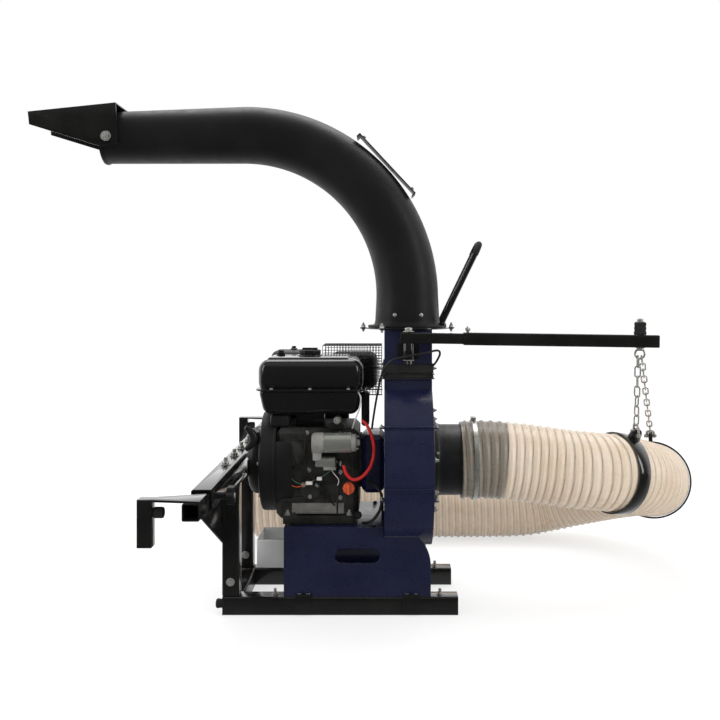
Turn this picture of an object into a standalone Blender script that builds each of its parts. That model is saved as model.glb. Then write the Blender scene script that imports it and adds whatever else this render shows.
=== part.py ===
"""A tailgate-mounted leaf vacuum: petrol engine, blower, ribbed suction hose on a chain boom, and a turning chute.

Metres, +Z up, +X towards the hose. Sizes are written about the crankshaft's line, X = 0 near the blower, Y = 0 on
the shaft, with the floor at Z = 0. One empty moves the whole so that the origin is under the bounding box's centre.
"""

import math

import bmesh
import bpy
from mathutils import Matrix, Vector

# Clearances
GAP = 0.0003  # between pieces that touch
SLIP = 0.0015  # round pieces that slide or turn

# Skid rails and tailgate frame
TUBE = 0.050
TUBE_WALL = 0.003
RAIL_LEFT = -0.437
RAIL_RIGHT = 0.195
RAIL_SPREAD = 0.256  # between the rails' centre lines
BUMPER_R = 0.013
BUMPER_LENGTH = 0.022
POST = 0.046
POST_X = -0.418
BEAM_WALL = 0.004
BEAM_X = -0.423
BEAM_Z = 0.390
BEAM_FRONT = -0.502
BEAM_REAR = 0.690
HEAD_PLATE = 0.008
HEAD_PLATE_LONG = 0.172
GUSSET_T = 0.005
GUSSET_OUT = 0.327
GUSSET_DROP = 0.170
POST_BOLT_OFF = 0.067  # along the beam, each side of a post
BOLT_R = 0.005

# Tailgate hooks, which slide in the beam
HOOK_OUT = 0.118  # from the beam's end to the hook's outer face
HOOK_INSERT = 0.130
HOOK_REACH = 0.122  # from the beam's centre line to the leg's outer face
HOOK_LEG = 0.032
HOOK_LEG_DROP = 0.101
HOOK_PLATE_T = 0.005
HOOK_PLATE_WIDE = 0.080
PAD_R = 0.0125
PAD_LENGTH = 0.024
PAD_DROP = 0.026
KNOB_R = 0.0235
KNOB_T = 0.018
LOCK_IN = 0.057  # from the beam's end to its lock screw
BOSS_R = 0.010
BOSS_LENGTH = 0.018

# Base
SHEET = 0.003
BASE_LEFT = -0.274
BASE_RIGHT = 0.124
BASE_TOP = 0.238
BASE_WIDTH = 0.300
BASE_CORNER_R = 0.103
SLOT_X = -0.075
SLOT_Z = 0.161
SLOT_LONG = 0.123
SLOT_HIGH = 0.040
DECK_RIGHT = -0.010
LIP = 0.040
CLAMP_XS = (-0.221, 0.071)
CLAMP_WIDE = 0.044
CLAMP_T = 0.005
CLAMP_BOTTOM = 0.003
TRAY_LEFT = -0.384
TRAY_RIGHT = -0.284
TRAY_DEEP = 0.150
TRAY_HIGH = 0.086

# Blower
SHAFT_Z = 0.395
DRUM_R = 0.236
HOUSING_LEFT = -0.002
HOUSING_WIDTH = 0.132
DRUM_ROOM = 0.002  # between the drum and the base's cheeks, which are cut round it
DUCT_HALF = 0.105
DUCT_BOTTOM = 0.632
DUCT_TOP = 0.771
ACCESS_R = 0.140
INLET_PLATE_R = 0.156
INLET_PLATE_T = 0.006
COLLAR_R = 0.1003
COLLAR_WALL = 0.003
COLLAR_LENGTH = 0.159
COLLAR_FLANGE_R = 0.122
BAND_HIGH = 0.044
BAND_T = 0.002
SHAFT_R = 0.0127
SHAFT_IN_ENGINE = 0.040
IMPELLER_R = 0.205
IMPELLER_PLATE_T = 0.005
HUB_R = 0.034
HUB_LENGTH = 0.052
BLADES = 6
BLADE_T = 0.006
BLADE_WIDE = 0.086
BLADE_ROOT_R = 0.030

# Engine
ENGINE_RIGHT = -0.065
ENGINE_CASE_LENGTH = 0.235
CASE_FRONT = -0.112
CASE_REAR = 0.112
CASE_BOTTOM = 0.250
CASE_TOP = 0.500
ADAPTER_HALF = 0.081
CYLINDER_TILT = math.radians(25)
CYLINDER_X = -0.185
GUARD_LEFT = -0.185
GUARD_RIGHT = -0.012
GUARD_BAR = 0.004
GUARD_ARCHES = 5
FIN_PITCH = 0.012
FINS = 7
SHROUD_R = 0.142
SHROUD_LENGTH = 0.045
RECOIL_R = 0.096
RECOIL_LENGTH = 0.042
TANK_LEFT = -0.349
TANK_RIGHT = -0.061
TANK_FRONT = -0.130
TANK_REAR = 0.090
TANK_BOTTOM = 0.538
TANK_TOP = 0.694
TANK_SEAM = 0.606
CAP_X = -0.214
CAP_Y = -0.020
CAP_R = 0.031
CAP_HIGH = 0.017
GAUGE_X = -0.300
STARTER_R = 0.027
STARTER_Z = 0.466
DIPSTICK_X = -0.099
DIPSTICK_Z = 0.340
DIPSTICK_R = 0.0165

# Chute
RING_R = 0.120
RING_T = 0.004
BEND_START = 0.862
BEND_R = 0.464
BEND_STEPS = 10
CHUTE_END = -0.802
CHUTE_BASE_R = 0.093
CHUTE_BEND_R = 0.0805
CHUTE_END_R = 0.073
CHUTE_WALL = 0.004
CHUTE_FLANGE_R = 0.1125
CHUTE_FLANGE_T = 0.006
HATCH_ANGLE = math.radians(43)
HATCH_LONG = 0.233
HATCH_WIDE = 0.070
HANDLE_R = 0.008
HANDLE_HALF = 0.045
HANDLE_FOOT = 0.098
HANDLE_OUT = 0.106
HANDLE_HIGH = 0.230
HOOD_HALF = 0.080
HOOD_T = 0.003
PIVOT_X = -0.774
PIVOT_Z = 1.308

# Boom
BOOM_Y = -0.137
BOOM_Z = 0.750
BOOM_TUBE = 0.029
SLEEVE_WALL = 0.002
BOOM_LEFT = 0.042
SLEEVE_LEFT = 0.213
BOOM_OVERLAP = 0.150
SLEEVE_RIGHT = 0.741
BOOM_DROOP = math.radians(0.8)
BARREL_R = 0.015
BARREL_HIGH = 0.045
PIN_R = 0.008
EYE_X = 0.694
EYE_R = 0.013
EYE_WIRE = 0.003
LINK_WIRE = 0.0023
LINK_WIDE = 0.024
CHAIN_SLACK = 0.002  # between the first link and the eye it hangs in
LINK_SIDES = 0  # extra points in each quarter of the wire's round
LINK_BITE = 0.0012  # neighbouring links bear on each other by this much

# Hose
HOSE_R = 0.112
HOSE_VALLEY_R = 0.108
HOSE_BORE_R = 0.101
RIB_PITCH = 0.0225
HOSE_LEFT = -0.458
HOSE_BEND_X = 0.527
HOSE_BEND_R = 0.3235
HOSE_SIDES = 3  # sets how many sides the tube has
BAND_SLACK = 0.0018
STRAP_WIDE = 0.042
STRAP_T = 0.004
STRAP_ANGLES = (math.radians(27), math.radians(71))
LUG_T = 0.012
LUG_HIGH = 0.032
LUG_WIDE = 0.036
LUG_HOLE_R = 0.0052
LUG_HOLE_DOWN = 0.013  # from the lug's top to its hole's centre
SHACKLE_LONG = 0.034
SHACKLE_WIRE = 0.0035
SHACKLE_ROOM = 0.0015  # between the lug and each leg
SHACKLE_PIN_R = 0.0042
LINK_PITCH = 0.035  # about, evened out over the chain

RAIL_Y = RAIL_SPREAD / 2
BEAM_HALF = TUBE / 2
HOOK_TUBE = TUBE - 2 * (BEAM_WALL + SLIP)
SIDES = (("front", -1, BEAM_FRONT), ("rear", 1, BEAM_REAR))
HOUSING_RIGHT = HOUSING_LEFT + HOUSING_WIDTH
CHUTE_X = HOUSING_LEFT + HOUSING_WIDTH / 2
BOOM_X = CHUTE_X
COLLAR_LEFT = HOUSING_RIGHT + INLET_PLATE_T + 2 * GAP
HOSE_START = COLLAR_LEFT + 0.079
ENGINE_LEFT = ENGINE_RIGHT - ENGINE_CASE_LENGTH
SHROUD_LEFT = ENGINE_LEFT - GAP - SHROUD_LENGTH
CHUTE_FOOT = DUCT_TOP + RING_T + SLIP / 3

BLACK = ((0.012, 0.012, 0.013), 0.35, 0.0)
NAVY = ((0.012, 0.013, 0.045), 0.3, 0.0)
PLASTIC = ((0.014, 0.014, 0.014), 0.55, 0.0)
RUBBER = ((0.02, 0.02, 0.02), 0.85, 0.0)
ZINC = ((0.55, 0.55, 0.53), 0.35, 1.0)
ALLOY = ((0.35, 0.35, 0.36), 0.5, 0.8)
STEEL = ((0.42, 0.43, 0.45), 0.4, 1.0)
CREAM = ((0.80, 0.66, 0.50), 0.5, 0.0)
ORANGE = ((0.75, 0.16, 0.03), 0.5, 0.0)
RED = ((0.6, 0.02, 0.02), 0.5, 0.0)
GREY = ((0.42, 0.43, 0.45), 0.5, 0.3)


for leftover in list(bpy.data.objects):
    bpy.data.objects.remove(leftover)

PARTS = bpy.data.collections.new("leaf_vacuum")
HELPERS = bpy.data.collections.new("Cutters")
HELPERS.hide_render = True
for collection in (PARTS, HELPERS):
    bpy.context.scene.collection.children.link(collection)


def helper(name, data, matrix=None):
    obj = bpy.data.objects.new(name, data)
    obj.hide_render = True
    obj.display_type = "WIRE"
    if matrix is not None:
        obj.matrix_world = matrix
    HELPERS.objects.link(obj)
    return obj


def solid(bm, name):
    mesh = bpy.data.meshes.new(name)
    bm.to_mesh(mesh)
    bm.free()
    return helper(name, mesh)


def baked(obj):
    """The object's shape as a mesh with its caps welded, its faces out and its place in its points."""
    bpy.context.view_layer.update()
    graph = bpy.context.evaluated_depsgraph_get()
    mesh = bpy.data.meshes.new_from_object(obj.evaluated_get(graph))
    mesh.transform(obj.matrix_world)
    bm = bmesh.new()
    bm.from_mesh(mesh)
    bmesh.ops.remove_doubles(bm, verts=bm.verts, dist=0.00001)
    bmesh.ops.recalc_face_normals(bm, faces=bm.faces)
    bm.to_mesh(mesh)
    bm.free()
    bpy.data.objects.remove(obj)
    return helper("shape", mesh)


def box(low, high, bevel=0.0, segments=1):
    low, high = Vector(low), Vector(high)
    bm = bmesh.new()
    scale = Matrix.Diagonal((*(high - low), 1))
    bmesh.ops.create_cube(bm, size=1, matrix=Matrix.Translation((low + high) / 2) @ scale)
    if bevel:
        bmesh.ops.bevel(bm, geom=list(bm.edges), offset=bevel, segments=segments, profile=0.5, affect="EDGES")
    return solid(bm, "box")


def rod(start, end, radius, sides=12, end_radius=None, turn=0.11):
    start, end = Vector(start), Vector(end)
    line = end - start
    place = Matrix.Translation((start + end) / 2) @ line.to_track_quat("Z", "Y").to_matrix().to_4x4()
    bm = bmesh.new()
    bmesh.ops.create_cone(
        bm,
        cap_ends=True,
        segments=sides,
        radius1=radius,
        radius2=radius if end_radius is None else end_radius,
        depth=line.length,
        matrix=place @ Matrix.Rotation(turn, 4, "Z"),
    )
    return solid(bm, "rod")


AXES = {
    "X": Matrix(((0, 0, 1, 0), (1, 0, 0, 0), (0, 1, 0, 0), (0, 0, 0, 1))),
    "Y": Matrix(((1, 0, 0, 0), (0, 0, -1, 0), (0, 1, 0, 0), (0, 0, 0, 1))),
    "Z": Matrix.Identity(4),
}


def plate(outline, axis, low, high):
    """An outline (Y, Z), (X, Z) or (X, Y), extruded from low to high along the axis it faces."""
    curve = bpy.data.curves.new("outline", "CURVE")
    curve.dimensions = "2D"
    curve.fill_mode = "BOTH"
    curve.extrude = (high - low) / 2
    spline = curve.splines.new("POLY")
    spline.points.add(len(outline) - 1)
    for point, (u, v) in zip(spline.points, outline):
        point.co = (u, v, 0, 1)
    spline.use_cyclic_u = True
    middle = (low + high) / 2
    shift = {"X": (middle, 0, 0), "Y": (0, middle, 0), "Z": (0, 0, middle)}[axis]
    return baked(helper("outline", curve, Matrix.Translation(shift) @ AXES[axis]))


def arc(centre, radius, start, end, steps):
    """Points of an arc, angles in degrees."""
    for i in range(steps + 1):
        angle = math.radians(start + (end - start) * i / steps)
        yield centre[0] + radius * math.cos(angle), centre[1] + radius * math.sin(angle)


def rounded(low, high, radius, steps=3):
    """A rectangle with round corners."""
    corners = (
        (high[0] - radius, high[1] - radius, 0),
        (low[0] + radius, high[1] - radius, 90),
        (low[0] + radius, low[1] + radius, 180),
        (high[0] - radius, low[1] + radius, 270),
    )
    return [point for x, y, turn in corners for point in arc((x, y), radius, turn, turn + 90, steps)]


def lathe(profile, centre, direction, steps=24, closed=False):
    """A profile of (radius, distance along the direction), turned about the line through the centre."""
    mesh = bpy.data.meshes.new("profile")
    edges = [(i, i + 1) for i in range(len(profile) - 1)]
    if closed:
        edges.append((len(profile) - 1, 0))
    mesh.from_pydata([(r, 0, h) for r, h in profile], edges, [])
    turn = Vector(direction).to_track_quat("Z", "Y").to_matrix().to_4x4()
    obj = helper("profile", mesh, Matrix.Translation(centre) @ turn)
    screw = obj.modifiers.new("turn", "SCREW")
    screw.steps = screw.render_steps = steps
    screw.use_merge_vertices = True
    screw.merge_threshold = 0.00001
    return baked(obj)


def tube(points, radius, resolution=2, radii=None, cyclic=False):
    curve = bpy.data.curves.new("path", "CURVE")
    curve.dimensions = "3D"
    curve.bevel_depth = radius
    curve.bevel_resolution = resolution
    curve.use_fill_caps = not cyclic
    spline = curve.splines.new("POLY")
    spline.points.add(len(points) - 1)
    for i, point in enumerate(points):
        spline.points[i].co = (*point, 1)
        spline.points[i].radius = radii[i] / radius if radii else 1
    spline.use_cyclic_u = cyclic
    return baked(helper("path", curve))


def turned(obj, angle, axis, centre):
    about = Matrix.Translation(centre)
    obj.data.transform(about @ Matrix.Rotation(angle, 4, axis) @ about.inverted())
    return obj


def material(name, look):
    colour, roughness, metallic = look
    made = bpy.data.materials.new(name)
    made.use_nodes = True
    made.diffuse_color = (*colour, 1)
    shader = made.node_tree.nodes["Principled BSDF"]
    shader.inputs["Base Color"].default_value = (*colour, 1)
    shader.inputs["Roughness"].default_value = roughness
    shader.inputs["Metallic"].default_value = metallic
    return made


def piece(name, look, shapes, cuts=(), on=None):
    """One named part: the shapes joined, less the cuts, on the empty that carries it."""
    shapes = list(shapes)
    base = shapes[0]
    for operation, others in (("UNION", shapes[1:]), ("DIFFERENCE", list(cuts))):
        for other in others:
            modifier = base.modifiers.new(operation.lower(), "BOOLEAN")
            modifier.operation = operation
            modifier.object = other
    bpy.context.view_layer.update()
    graph = bpy.context.evaluated_depsgraph_get()
    mesh = bpy.data.meshes.new_from_object(base.evaluated_get(graph))
    for used in (*shapes, *cuts):
        bpy.data.objects.remove(used)
    mesh.name = name
    mesh.shade_smooth()
    mesh.set_sharp_from_angle(angle=math.radians(35))
    mesh.materials.clear()
    mesh.materials.append(material(name, look))
    obj = bpy.data.objects.new(name, mesh)
    PARTS.objects.link(obj)
    obj.parent = on or WHOLE
    if on:
        obj.location = -on.location
        if on.parent and on.parent is not WHOLE:
            obj.location -= on.parent.location
    return obj


def pivot(name, place, under=None):
    """An empty on a joint's axis, under the whole or another joint's empty."""
    obj = bpy.data.objects.new(name, None)
    obj.empty_display_size = 0.05
    obj.parent = under or WHOLE
    obj.location = Vector(place) - (under.location if under else Vector())
    PARTS.objects.link(obj)
    return obj


def smooth_path(points, step):
    """Points at an even step along a Catmull-Rom curve through the given points."""
    points = [Vector(p) for p in points]
    padded = [2 * points[0] - points[1], *points, 2 * points[-1] - points[-2]]
    fine = []
    for i in range(1, len(padded) - 2):
        a, b, c, d = padded[i - 1 : i + 3]
        for k in range(24):
            t = k / 24
            fine.append(
                0.5 * (2 * b + (c - a) * t + (2 * a - 5 * b + 4 * c - d) * t**2 + (3 * b - a - 3 * c + d) * t**3)
            )
    fine.append(points[-1])
    lengths = [0.0]
    for a, b in zip(fine, fine[1:]):
        lengths.append(lengths[-1] + (b - a).length)
    count = max(2, round(lengths[-1] / step))
    made, k = [], 0
    for i in range(count + 1):
        want = lengths[-1] * i / count
        while k < len(lengths) - 2 and lengths[k + 1] < want:
            k += 1
        span = lengths[k + 1] - lengths[k]
        made.append(fine[k].lerp(fine[k + 1], (want - lengths[k]) / span if span else 0))
    return made


WHOLE = bpy.data.objects.new("leaf_vacuum_frame", None)
PARTS.objects.link(WHOLE)


def square_tube(axis, centre, side, low, high, wall):
    """A square tube along an axis, as its outside and the cutter for its inside."""
    shapes = []
    for half, radius, past in ((side / 2, side * 0.07, 0), (side / 2 - wall, side * 0.03, 0.001)):
        outline = rounded((centre[0] - half, centre[1] - half), (centre[0] + half, centre[1] + half), radius, 1)
        shapes.append(plate(outline, axis, low - past, high + past))
    return shapes


def rails():
    plug = TUBE - 2 * TUBE_WALL - 2 * GAP
    for name, side, _ in SIDES:
        y = side * RAIL_Y
        outside, inside = square_tube("X", (y, BEAM_HALF), TUBE, RAIL_LEFT, RAIL_RIGHT, TUBE_WALL)
        lip = rounded((y - BEAM_HALF, 0), (y + BEAM_HALF, TUBE), 0.004, 2)
        cap = plate(lip, "X", RAIL_RIGHT - GAP, RAIL_RIGHT + TUBE_WALL)
        piece(f"{name}_rail", BLACK, [cut_shape(outside, inside), cap])
        face = RAIL_LEFT - GAP
        inner = rounded((y - plug / 2, BEAM_HALF - plug / 2), (y + plug / 2, BEAM_HALF + plug / 2), 0.003, 2)
        shapes = [
            plate(lip, "X", face - TUBE_WALL, face),
            plate(inner, "X", face - TUBE_WALL / 2, face + 0.018),
            rod((face - TUBE_WALL / 2, y, BEAM_HALF), (face - BUMPER_LENGTH, y, BEAM_HALF), BUMPER_R, 14),
        ]
        piece(f"{name}_bumper", RUBBER, shapes)
    reach = RAIL_Y - BEAM_HALF - GAP
    outside, inside = square_tube("Y", (RAIL_LEFT + BEAM_HALF, BEAM_HALF), TUBE, -reach, reach, TUBE_WALL)
    piece("rail_cross_tube", BLACK, [outside], [inside])


def post_bolts(side):
    return [side * RAIL_Y + off for off in (-POST_BOLT_OFF, POST_BOLT_OFF)]


def posts():
    top = BEAM_Z - BEAM_HALF - GAP
    for name, side, _ in SIDES:
        y, half = side * RAIL_Y, POST / 2
        outer = y + side * half
        shapes = [
            box((POST_X - half, y - half, TUBE + GAP), (POST_X + half, y + half, top - HEAD_PLATE / 2), 0.003),
            box(
                (BEAM_X - 0.030, y - HEAD_PLATE_LONG / 2, top - HEAD_PLATE),
                (BEAM_X + 0.032, y + HEAD_PLATE_LONG / 2, top),
                0.001,
            ),
        ]
        tip = outer + side * GUSSET_OUT
        gusset = [
            (outer - side * 0.002, top),
            (tip, top),
            (tip, top - 0.012),
            (outer, top - GUSSET_DROP),
            (outer - side * 0.002, top - GUSSET_DROP),
        ]
        left = POST_X - half + GAP
        shapes.append(plate(gusset, "X", left, left + GUSSET_T))
        under = top - HEAD_PLATE
        over = BEAM_Z + BEAM_HALF + GAP
        for b in post_bolts(side):
            shapes += [
                rod((BEAM_X, b, under - 0.012), (BEAM_X, b, over + 0.020), BOLT_R, 8),
                rod((BEAM_X, b, under - 0.008), (BEAM_X, b, under + 0.001), 0.0095, 6),
                rod((BEAM_X, b, over), (BEAM_X, b, over + 0.008), 0.0095, 6),
            ]
        piece(f"{name}_post", BLACK, shapes)


def beam():
    shapes, cuts = [], []
    outside, inside = square_tube("Y", (BEAM_X, BEAM_Z), TUBE, BEAM_FRONT, BEAM_REAR, BEAM_WALL)
    shapes.append(cut_shape(outside, inside))
    right = BEAM_X + BEAM_HALF
    for _, side, end in SIDES:
        y = end - side * LOCK_IN
        shapes.append(rod((right - BEAM_WALL / 2, y, BEAM_Z), (right + BOSS_LENGTH, y, BEAM_Z), BOSS_R, 14))
        cuts.append(rod((BEAM_X + 0.01, y, BEAM_Z), (right + BOSS_LENGTH + 0.01, y, BEAM_Z), 0.0045, 8))
        for b in post_bolts(side):
            cuts.append(rod((BEAM_X, b, BEAM_Z - TUBE), (BEAM_X, b, BEAM_Z + TUBE), BOLT_R + GAP, 8))
    piece("tailgate_beam", BLACK, shapes, cuts)


def knob_outline(centre, radius, lobes=6):
    for i in range(lobes * 4):
        angle = 2 * math.pi * i / (lobes * 4)
        r = radius * (0.92 + 0.08 * math.cos(lobes * angle))
        yield centre[0] + r * math.cos(angle), centre[1] + r * math.sin(angle)


def hooks():
    for name, side, end in SIDES:
        out = end + side * HOOK_OUT
        slide = pivot(f"{name}_hook_axis", (BEAM_X, out, BEAM_Z))
        inner = end - side * HOOK_INSERT
        outside, inside = square_tube("Y", (BEAM_X, BEAM_Z), HOOK_TUBE, *sorted((out, inner)), TUBE_WALL)
        plate_z = BEAM_Z + HOOK_TUBE / 2 - GAP
        leg_y = out - side * HOOK_LEG
        left, right = BEAM_X - HOOK_REACH, BEAM_X + HOOK_TUBE / 2
        outline = [
            (right, out),
            (right, out - side * HOOK_PLATE_WIDE),
            (left + HOOK_LEG, leg_y - side * HOOK_LEG / 2),
            (left, leg_y - side * HOOK_LEG / 2),
            (left, leg_y + side * HOOK_LEG / 2),
            (left + HOOK_LEG, leg_y + side * HOOK_LEG / 2),
        ]
        top = plate(outline, "Z", plate_z, plate_z + HOOK_PLATE_T)
        leg = box(
            (left, leg_y - HOOK_LEG / 2, plate_z - HOOK_LEG_DROP),
            (left + HOOK_LEG, leg_y + HOOK_LEG / 2, plate_z + HOOK_PLATE_T / 2),
        )
        piece(f"{name}_hook", BLACK, [outside, top, leg], [inside], slide)
        pad_x, pad_z = left + HOOK_LEG + GAP, plate_z - PAD_DROP
        pad = rod((pad_x, leg_y, pad_z), (pad_x + PAD_LENGTH, leg_y, pad_z), PAD_R, 14)
        piece(f"{name}_hook_pad", RUBBER, [pad], on=slide)
        y = end - side * LOCK_IN
        knob_x = BEAM_X + BEAM_HALF + BOSS_LENGTH + 0.006
        axis = pivot(f"{name}_lock_axis", (knob_x, y, BEAM_Z))
        screw = rod((BEAM_X + HOOK_TUBE / 2 + GAP, y, BEAM_Z), (knob_x + 0.004, y, BEAM_Z), 0.004, 8)
        grip = plate(list(knob_outline((y, BEAM_Z), KNOB_R)), "X", knob_x, knob_x + KNOB_T)
        piece(f"{name}_lock_knob", PLASTIC, [grip, screw], on=axis)


def base():
    low = TUBE + GAP
    corner = (BASE_RIGHT - BASE_CORNER_R, BASE_TOP - BASE_CORNER_R)
    outline = [(BASE_LEFT, low), (BASE_RIGHT, low), *arc(corner, BASE_CORNER_R, 0, 90, 10), (BASE_LEFT, BASE_TOP)]
    half, end = SLOT_HIGH / 2, SLOT_LONG / 2 - SLOT_HIGH / 2
    slot = [
        *arc((SLOT_X + end, SLOT_Z), half, -90, 90, 8),
        *arc((SLOT_X - end, SLOT_Z), half, 90, 270, 8),
    ]
    out = BASE_WIDTH / 2
    shapes = [plate(outline, "Y", side * out - SHEET / 2, side * out + SHEET / 2) for side in (-1, 1)]
    shapes.append(box((BASE_LEFT, -out, BASE_TOP - SHEET), (DECK_RIGHT, out, BASE_TOP)))
    face = RAIL_Y + BEAM_HALF + GAP
    for side in (-1, 1):
        near, far = sorted((side * out, side * (out - LIP)))
        shapes.append(box((BASE_LEFT, near, low), (BASE_RIGHT, far, low + SHEET)))
        # Clamps hook over the rail from the lip and hang down its outer face
        for x in CLAMP_XS:
            start, end = x - CLAMP_WIDE / 2, x + CLAMP_WIDE / 2
            near, far = sorted((side * face, side * (face + CLAMP_T)))
            shapes.append(box((start, near, CLAMP_BOTTOM), (end, far, low + CLAMP_T)))
            near, far = sorted((side * (out - 0.010), side * (face + CLAMP_T / 2)))
            shapes.append(box((start + 0.001, near, low + 0.001), (end - 0.001, far, low + CLAMP_T - 0.001)))
    drum = plate(scroll(-DRUM_ROOM), "X", HOUSING_LEFT - DRUM_ROOM, BASE_RIGHT + 0.02)
    piece("base_frame", NAVY, shapes, [plate(slot, "Y", -out - 0.01, out + 0.01), drum])
    front, low = RAIL_Y - BEAM_HALF, TUBE + GAP
    rear, high = front + TRAY_DEEP, low + TRAY_HIGH
    tray = box((TRAY_LEFT, front, low), (TRAY_RIGHT, rear, high), 0.003)
    room = box((TRAY_LEFT + 0.002, front + 0.002, low + 0.002), (TRAY_RIGHT - 0.002, rear - 0.002, high + 0.01))
    drain = rod(((TRAY_LEFT + TRAY_RIGHT) / 2, rear - 0.03, low - 0.01), ((TRAY_LEFT + TRAY_RIGHT) / 2, rear - 0.03, low + 0.01), 0.006, 16)
    piece("battery_tray", GREY, [tray], [room, drain])


def scroll(inset, above=0.0):
    """The blower's outline (Y, Z): an arc from the duct's front wall round to the straight sheet up to its rear wall."""
    radius, half = DRUM_R - inset, DUCT_HALF - inset
    rise = DUCT_BOTTOM - SHAFT_Z
    start = 180 - math.degrees(math.acos(half / radius))
    tangent = math.degrees(math.atan2(rise, half) - math.acos(radius / math.hypot(rise, half)))
    outline = [(-half, DUCT_BOTTOM), *arc((0, SHAFT_Z), radius, start, 360 + tangent, 32), (half, DUCT_BOTTOM)]
    if above:
        outline += [(half, DUCT_BOTTOM + above), (-half, DUCT_BOTTOM + above)]
    return outline


def along_shaft(start, end, radius, sides=24):
    return rod((start, 0, SHAFT_Z), (end, 0, SHAFT_Z), radius, sides)


def blower():
    left, right = HOUSING_LEFT, HOUSING_RIGHT
    cuts = [
        plate(scroll(SHEET, 0.01), "X", left + SHEET, right - SHEET),
        along_shaft(right - 0.01, right + 0.01, ACCESS_R, 32),
        along_shaft(left - 0.01, left + 0.01, SHAFT_R + 0.004, 24),
    ]
    piece("blower_housing", NAVY, [plate(scroll(0), "X", left, right)], cuts)
    low, high = DUCT_BOTTOM + GAP, DUCT_TOP
    duct = box((left, -DUCT_HALF, low), (right, DUCT_HALF, high))
    room = box((left + SHEET, -DUCT_HALF + SHEET, low - 0.01), (right - SHEET, DUCT_HALF - SHEET, high + 0.01))
    limit = HOUSING_WIDTH / 2 - SHEET
    hole = []
    for x, y in arc((0, 0), CHUTE_BASE_R - CHUTE_WALL - 0.001, 0, 352.5, 47):
        hole.append((CHUTE_X + max(-limit, min(limit, x)), y))
    ring = rod((CHUTE_X, 0, DUCT_TOP - GAP), (CHUTE_X, 0, DUCT_TOP + RING_T), RING_R, 32)
    ring = cut_shape(ring, plate(hole, "Z", DUCT_TOP - 0.01, DUCT_TOP + 0.02))
    piece("outlet_duct", NAVY, [cut_shape(duct, room), ring])
    out, fit = BAND_T + 2 * GAP, 2 * GAP
    band = box((left - out, -DUCT_HALF - out, low), (right + out, DUCT_HALF + out, low + BAND_HIGH))
    room = box((left - fit, -DUCT_HALF - fit, low - 0.01), (right + fit, DUCT_HALF + fit, low + BAND_HIGH + 0.01))
    piece("duct_seal_band", RUBBER, [band], [room])
    plate_left = right + GAP
    shapes = [along_shaft(plate_left, plate_left + INLET_PLATE_T, INLET_PLATE_R, 32)]
    cut = along_shaft(plate_left - 0.01, plate_left + 0.02, COLLAR_R - COLLAR_WALL, 24)
    piece("inlet_plate", BLACK, shapes, [cut])
    x = COLLAR_LEFT
    inner = COLLAR_R - COLLAR_WALL
    profile = [
        (COLLAR_R, x + COLLAR_LENGTH),
        (COLLAR_R, x + 0.016),
        (COLLAR_R + 0.005, x + 0.008),
        (COLLAR_FLANGE_R, x + 0.006),
        (COLLAR_FLANGE_R, x),
        (inner, x),
        (inner, x + COLLAR_LENGTH),
    ]
    piece("inlet_collar", BLACK, [lathe(profile, (0, 0, SHAFT_Z), (1, 0, 0), 26, closed=True)])


def impeller():
    spin = pivot("impeller_axis", (0, 0, SHAFT_Z))
    inside = HOUSING_LEFT + SHEET
    back = inside + 0.010
    hub = along_shaft(inside + 0.006, inside + 0.006 + HUB_LENGTH, HUB_R, 24)
    disc = along_shaft(back, back + IMPELLER_PLATE_T, IMPELLER_R, 32)
    shapes = [disc, hub]
    for i in range(BLADES):
        blade = box(
            (back + IMPELLER_PLATE_T / 2, BLADE_ROOT_R, SHAFT_Z - BLADE_T / 2),
            (back + IMPELLER_PLATE_T + BLADE_WIDE, IMPELLER_R - 0.003, SHAFT_Z + BLADE_T / 2),
        )
        nose = plate(
            [(back + IMPELLER_PLATE_T + BLADE_WIDE + 0.001, 0.0), (back + IMPELLER_PLATE_T + BLADE_WIDE + 0.001, 0.115),
             (back + HUB_LENGTH, 0.0)], "Z", SHAFT_Z - 0.02, SHAFT_Z + 0.02)
        trimmed = cut_shape(blade, nose)
        shapes.append(turned(trimmed, 2 * math.pi * i / BLADES, "X", (0, 0, SHAFT_Z)))
    bore = along_shaft(inside - 0.01, inside + HUB_LENGTH + 0.02, SHAFT_R + GAP, 24)
    piece("impeller", STEEL, shapes, [bore], spin)
    start = ENGINE_RIGHT - SHAFT_IN_ENGINE
    end = inside + 0.006 + HUB_LENGTH
    shaft = along_shaft(start, end + 0.002, SHAFT_R, 24)
    washer = along_shaft(end + GAP, end + 0.004, 0.020, 24)
    bolt = along_shaft(end + 0.003, end + 0.012, 0.010, 6)
    piece("crankshaft", STEEL, [shaft, washer, bolt], on=spin)


def cut_shape(shape, cutter):
    modifier = shape.modifiers.new("cut", "BOOLEAN")
    modifier.operation = "DIFFERENCE"
    modifier.object = cutter
    made = baked(shape)
    bpy.data.objects.remove(cutter)
    return made


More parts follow.
